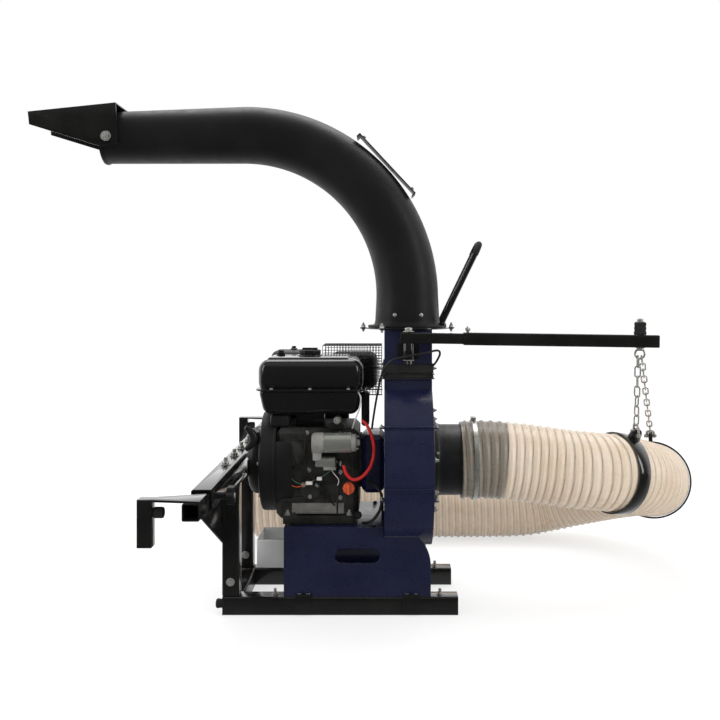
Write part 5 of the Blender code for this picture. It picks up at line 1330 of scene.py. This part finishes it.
def recoil(left):
    """The slotted recoil cover with its pull grip."""
    r = 0.096
    long = 0.042
    profile = [(0.0001, long), (r * 0.56, long), (r * 0.66, long * 0.985), (r * 0.80, long * 0.92),
               (r * 0.92, long * 0.78), (r * 0.98, long * 0.58), (r, long * 0.4), (r, 0.006),
               (r + 0.006, 0.005), (r + 0.006, GAP), (r * 0.8, GAP)]
    cover = turned(profile, (left, 0, SHAFT_Z), (-1, 0, 0), 96)
    middle = at((0, 0, SHAFT_Z))
    slots = []
    for i in range(20):
        corner = (left - long - 0.01, -0.0028, SHAFT_Z + 0.040)
        slot = block(corner, (left - long * 0.72, 0.0028, SHAFT_Z + 0.082), 0)
        slots.append(spun(slot, middle, 2 * math.pi * (i + 0.4) / 20, "X"))
    cover = cut(cover, joined(slots))
    back = rod((left - 0.006, 0, SHAFT_Z), (left - 0.010, 0, SHAFT_Z), 0.085, 48)
    hub = rod((left - long - 0.002, 0, SHAFT_Z), (left - long + 0.006, 0, SHAFT_Z), 0.024, 40, bevel=0.002)
    x = ROPE_X
    z = ROPE_Z
    chin = block((x - 0.012, -0.088, z - 0.014), (left - 0.0006, -0.030, z + 0.012), 0.004, 3)
    hole = rod((x, -0.2, z), (x, -0.040, z), 0.0035, 20)
    shapes = joined([cover, back, hub, cut(chin, hole)])
    piece("recoil_housing", shapes, PLASTIC, "machine", ["recoil_cover"])
    wing, thick = [], []
    for i in range(13):
        t = i / 6 - 1
        wing.append((x + 0.004 - 0.022 * t * t, -0.118 - 0.006 * t * t, z + 0.031 * t))
        thick.append(0.0125 - 0.0065 * t * t)
    bar = swept(wing, 0.0125, 16, radii=thick)
    horn = rod((x, -0.090, z), (x, -0.112, z), 0.007, 24, 0.011)
    piece("pull_grip", joined([bar, horn]), PLASTIC, "recoil_handle", ["recoil_grip"])


def rope():
    """The pull rope, from inside the cover out to the grip."""
    cord = swept([(ROPE_X, -0.042 - 0.0061 * i, ROPE_Z) for i in range(11)], 0.0025, 12)
    piece("pull_rope", cord, ROPE, "recoil_handle", ["recoil_rope"])


def top_gear():
    """Air cleaner, carburettor and muffler."""
    left, right = -0.345, -0.215
    front, rear = 0.118, 0.238
    lip = 0.005
    box = block((left, front, 0.572), (right, rear, 0.617), 0.014, 5)
    hood = block((left, front, 0.612), (right, rear, 0.700), 0.022, 7)
    lid = block((left - lip, front - lip, 0.6165), (right + lip, rear + lip, 0.6255), 0.0025, 3)
    clips = []
    for x in (-0.325, -0.251):
        clips.append(block((x, rear + 0.0015, 0.600), (x + 0.016, rear + 0.0055, 0.640), 0.0012))
    profile = mm((0.1, 12), (6, 11.5), (7, 6), (10, 4), (11.5, 0))
    nut = turned(profile, (-0.280, 0.178, 0.700), (0, 0, 1), 28)
    shapes = joined([box, hood, lid, *clips, nut])
    piece("air_filter_box", shapes, PLASTIC, "machine", ["air_cleaner"])
    body = block((-0.297, 0.145, 0.505), (-0.263, 0.205, 0.5717), 0.004, 3)
    profile = mm((0.1, 0), (13, 0), (16, 3), (16, 30), (18, 32), (18, 40))
    bowl = turned(profile, (-0.280, 0.175, 0.470), (0, 0, 1), 36)
    throat = rod((-0.280, 0.140, 0.545), (-0.280, 0.212, 0.545), 0.014, 32, bevel=0.001)
    shapes = joined([body, bowl, throat])
    piece("carburettor_casting", shapes, ALLOY, "machine", ["carburettor"])
    shell = block((-0.165, 0.108, 0.584), (-0.025, 0.218, 0.695), 0.024, 7)
    seam = plate(rounded((-0.168, 0.584), (-0.022, 0.695), 0.026, 8), "Y", 0.160, 0.1635, 0.0008)
    down = rod((-0.120, 0.165, 0.600), (-0.120, 0.165, 0.560), 0.016, 32, bevel=0.001)
    outlet = turned(mm((8, 0), (8, 40), (11, 40), (11, 0)), (-0.060, 0.200, 0.655), (0, 1, 0), 32)
    shapes = joined([shell, seam, down, outlet])
    piece("muffler_shell", shapes, DARK_ALLOY, "machine", ["muffler"])
    guard()


def guard():
    """Fine wires bent over the muffler in arches, crossed by level wires and four thicker ones."""
    left, right = -0.187, -0.010
    front, rear = 0.100, 0.250
    low, high = 0.570, 0.716
    bend = 0.012
    wire = 0.0009
    side_view = [(front, low), (front, high - bend), *arc((front + bend, high - bend), bend, 180, 90, 4),
                 *arc((rear - bend, high - bend), bend, 90, 0, 4), (rear, high - bend), (rear, low)]
    wires = []
    for i in range(21):
        x = left + (right - left) * i / 20
        wires.append(swept([(x, *point) for point in side_view], wire, 4))
    levels = [(front, low + 0.0083 * k) for k in range(17)]
    levels += [(front + 0.0088 * k, high) for k in range(1, 17)]
    levels += [(rear, low + 0.0083 * k) for k in range(17)]
    wires += [swept([(left, y, z), (right, y, z)], wire, 4) for y, z in levels]
    for y, z in ((front, low), (rear, low), (front, 0.650), (rear, 0.650)):
        wires.append(swept([(left - 0.002, y, z), (right + 0.002, y, z)], 2 * wire, 8))
    piece("muffler_mesh", joined(wires), GUARD, "machine", ["muffler_guard"])


def controls():
    """Dipstick, throttle and choke."""
    x = -0.099
    z = 0.340
    face = CASE_FRONT - 0.0143
    cap = plate(lobed((x, z), 0.0165, 0.04, 10, 60), "Y", face - 0.010, face, 0.0014)
    grip = block((x - 0.0038, face - 0.024, z - 0.015), (x + 0.0038, face - 0.009, z + 0.015), 0.003, 4)
    stem = rod((x, face - 0.001, z), (x, face + 0.060, z), 0.0075, 24, bevel=0.0008)
    shapes = joined([cap, grip, stem])
    piece("dipstick_moulding", shapes, ORANGE, "dipstick", ["oil_dipstick"])
    y = 0.216
    for name, x, z, reach in (("throttle", -0.325, 0.545, 0.045), ("choke", -0.280, 0.535, 0.030)):
        hub = rod((x, y, z - 0.004), (x, y, z + 0.004), 0.008, 28, bevel=0.001)
        arm = block((x - 0.004, y, z - 0.0015), (x + 0.004, y + reach, z + 0.0015), 0.0006)
        tip = rod((x, y + reach, z - 0.003), (x, y + reach, z + 0.012), 0.006, 24, bevel=0.0018)
        piece(f"{name}_control", joined([hub, arm, tip]), PLASTIC, name, [f"{name}_lever"])


# Floor and light


def rays(tree):
    """Two sockets: 1 for glossy rays, and 1 for rays from the camera or through clear material."""
    ray = node(tree, "LightPath").outputs
    return ray["Is Glossy Ray"], reckoned(tree, "MAXIMUM", ray["Is Camera Ray"], ray["Is Transmission Ray"])


def floor():
    """White to the camera, with the shadow. Gloss sees it bright behind the object and dark before it."""
    bpy.ops.mesh.primitive_plane_add(size=60, location=(0, 0, -0.0004))
    ground = bpy.context.object
    ground.name = "studio_floor"
    made = bpy.data.materials.new("studio_floor")
    made.use_nodes = True
    tree = made.node_tree
    tree.nodes.clear()
    glossy, seen = rays(tree)
    place = node(tree, "TexCoord").outputs["Object"]
    cloud = node(tree, "TexNoise", {"Vector": place, "Scale": 1.5}).outputs["Fac"]
    tone = mixed(tree, cloud, (0.40, 0.40, 0.40, 1), (0.42, 0.42, 0.42, 1))
    lit = node(tree, "BsdfDiffuse", {"Color": tone}).outputs["BSDF"]
    glow = node(tree, "Emission", {"Strength": 0.66}).outputs["Emission"]
    shown = node(tree, "AddShader", {0: lit, 1: glow}).outputs["Shader"]
    plain = node(tree, "BsdfDiffuse", {"Color": (0.85, 0.85, 0.85, 1)}).outputs["BSDF"]
    depth = node(tree, "SeparateXYZ", {"Vector": place}).outputs["Y"]
    behind = ramp(tree, depth, -0.6, 0.9, 0.03, 0.95, "SMOOTHSTEP")
    mirrored = node(tree, "Emission", {"Strength": behind}).outputs["Emission"]
    gloss = node(tree, "MixShader", {"Fac": glossy, 1: plain, 2: mirrored}).outputs["Shader"]
    pick = node(tree, "MixShader", {"Fac": seen, 1: gloss, 2: shown}).outputs["Shader"]
    node(tree, "OutputMaterial", {"Surface": pick})
    ground.data.materials.append(made)


def sky():
    """White to the camera. Gloss sees a bright studio above and behind, and a darker one before it."""
    world = bpy.data.worlds.new("studio")
    bpy.context.scene.world = world
    world.use_nodes = True
    tree = world.node_tree
    tree.nodes.clear()
    glossy, seen = rays(tree)
    way = node(tree, "SeparateXYZ", {"Vector": node(tree, "TexCoord").outputs["Generated"]}).outputs
    back = ramp(tree, way["Y"], -0.25, 0.30, 0.05, 1.0, "SMOOTHSTEP")
    above = ramp(tree, way["Z"], 0.45, 0.95, 0.0, 0.35, "SMOOTHSTEP")
    light = between(tree, glossy, 0.92, reckoned(tree, "MAXIMUM", back, above))
    ground = node(tree, "Background", {"Color": (1, 1, 1, 1), "Strength": between(tree, seen, light, 1.0)})
    node(tree, "OutputWorld", {"Surface": ground.outputs["Background"]})


def lamp(name, place, aim, size, power):
    data = bpy.data.lights.new(name, "AREA")
    data.shape = "RECTANGLE"
    data.size, data.size_y = size
    data.energy = power
    obj = linked(name, data)
    obj.location = place
    obj.rotation_euler = (Vector(place) - Vector(aim)).to_track_quat("Z", "Y").to_euler()


cables()
hose()
framework()
tailgate_hooks()
base()
blower()
chute()
boom()
clamp()
tank()
crankcase()
starter()
loom()
shroud()
top_gear()
controls()
floor()
sky()
lamp("top_softbox", (0.0, 1.0, 3.4), (0, 0, 0.5), (3.0, 1.6), 40)
lamp("left_strip", (-3.0, -1.0, 1.8), (0, 0, 0.6), (0.5, 2.4), 16)
lamp("right_strip", (3.0, -1.6, 1.9), (0.2, 0, 0.6), (0.5, 2.4), 20)

bpy.context.scene.view_settings.view_transform = "Standard"
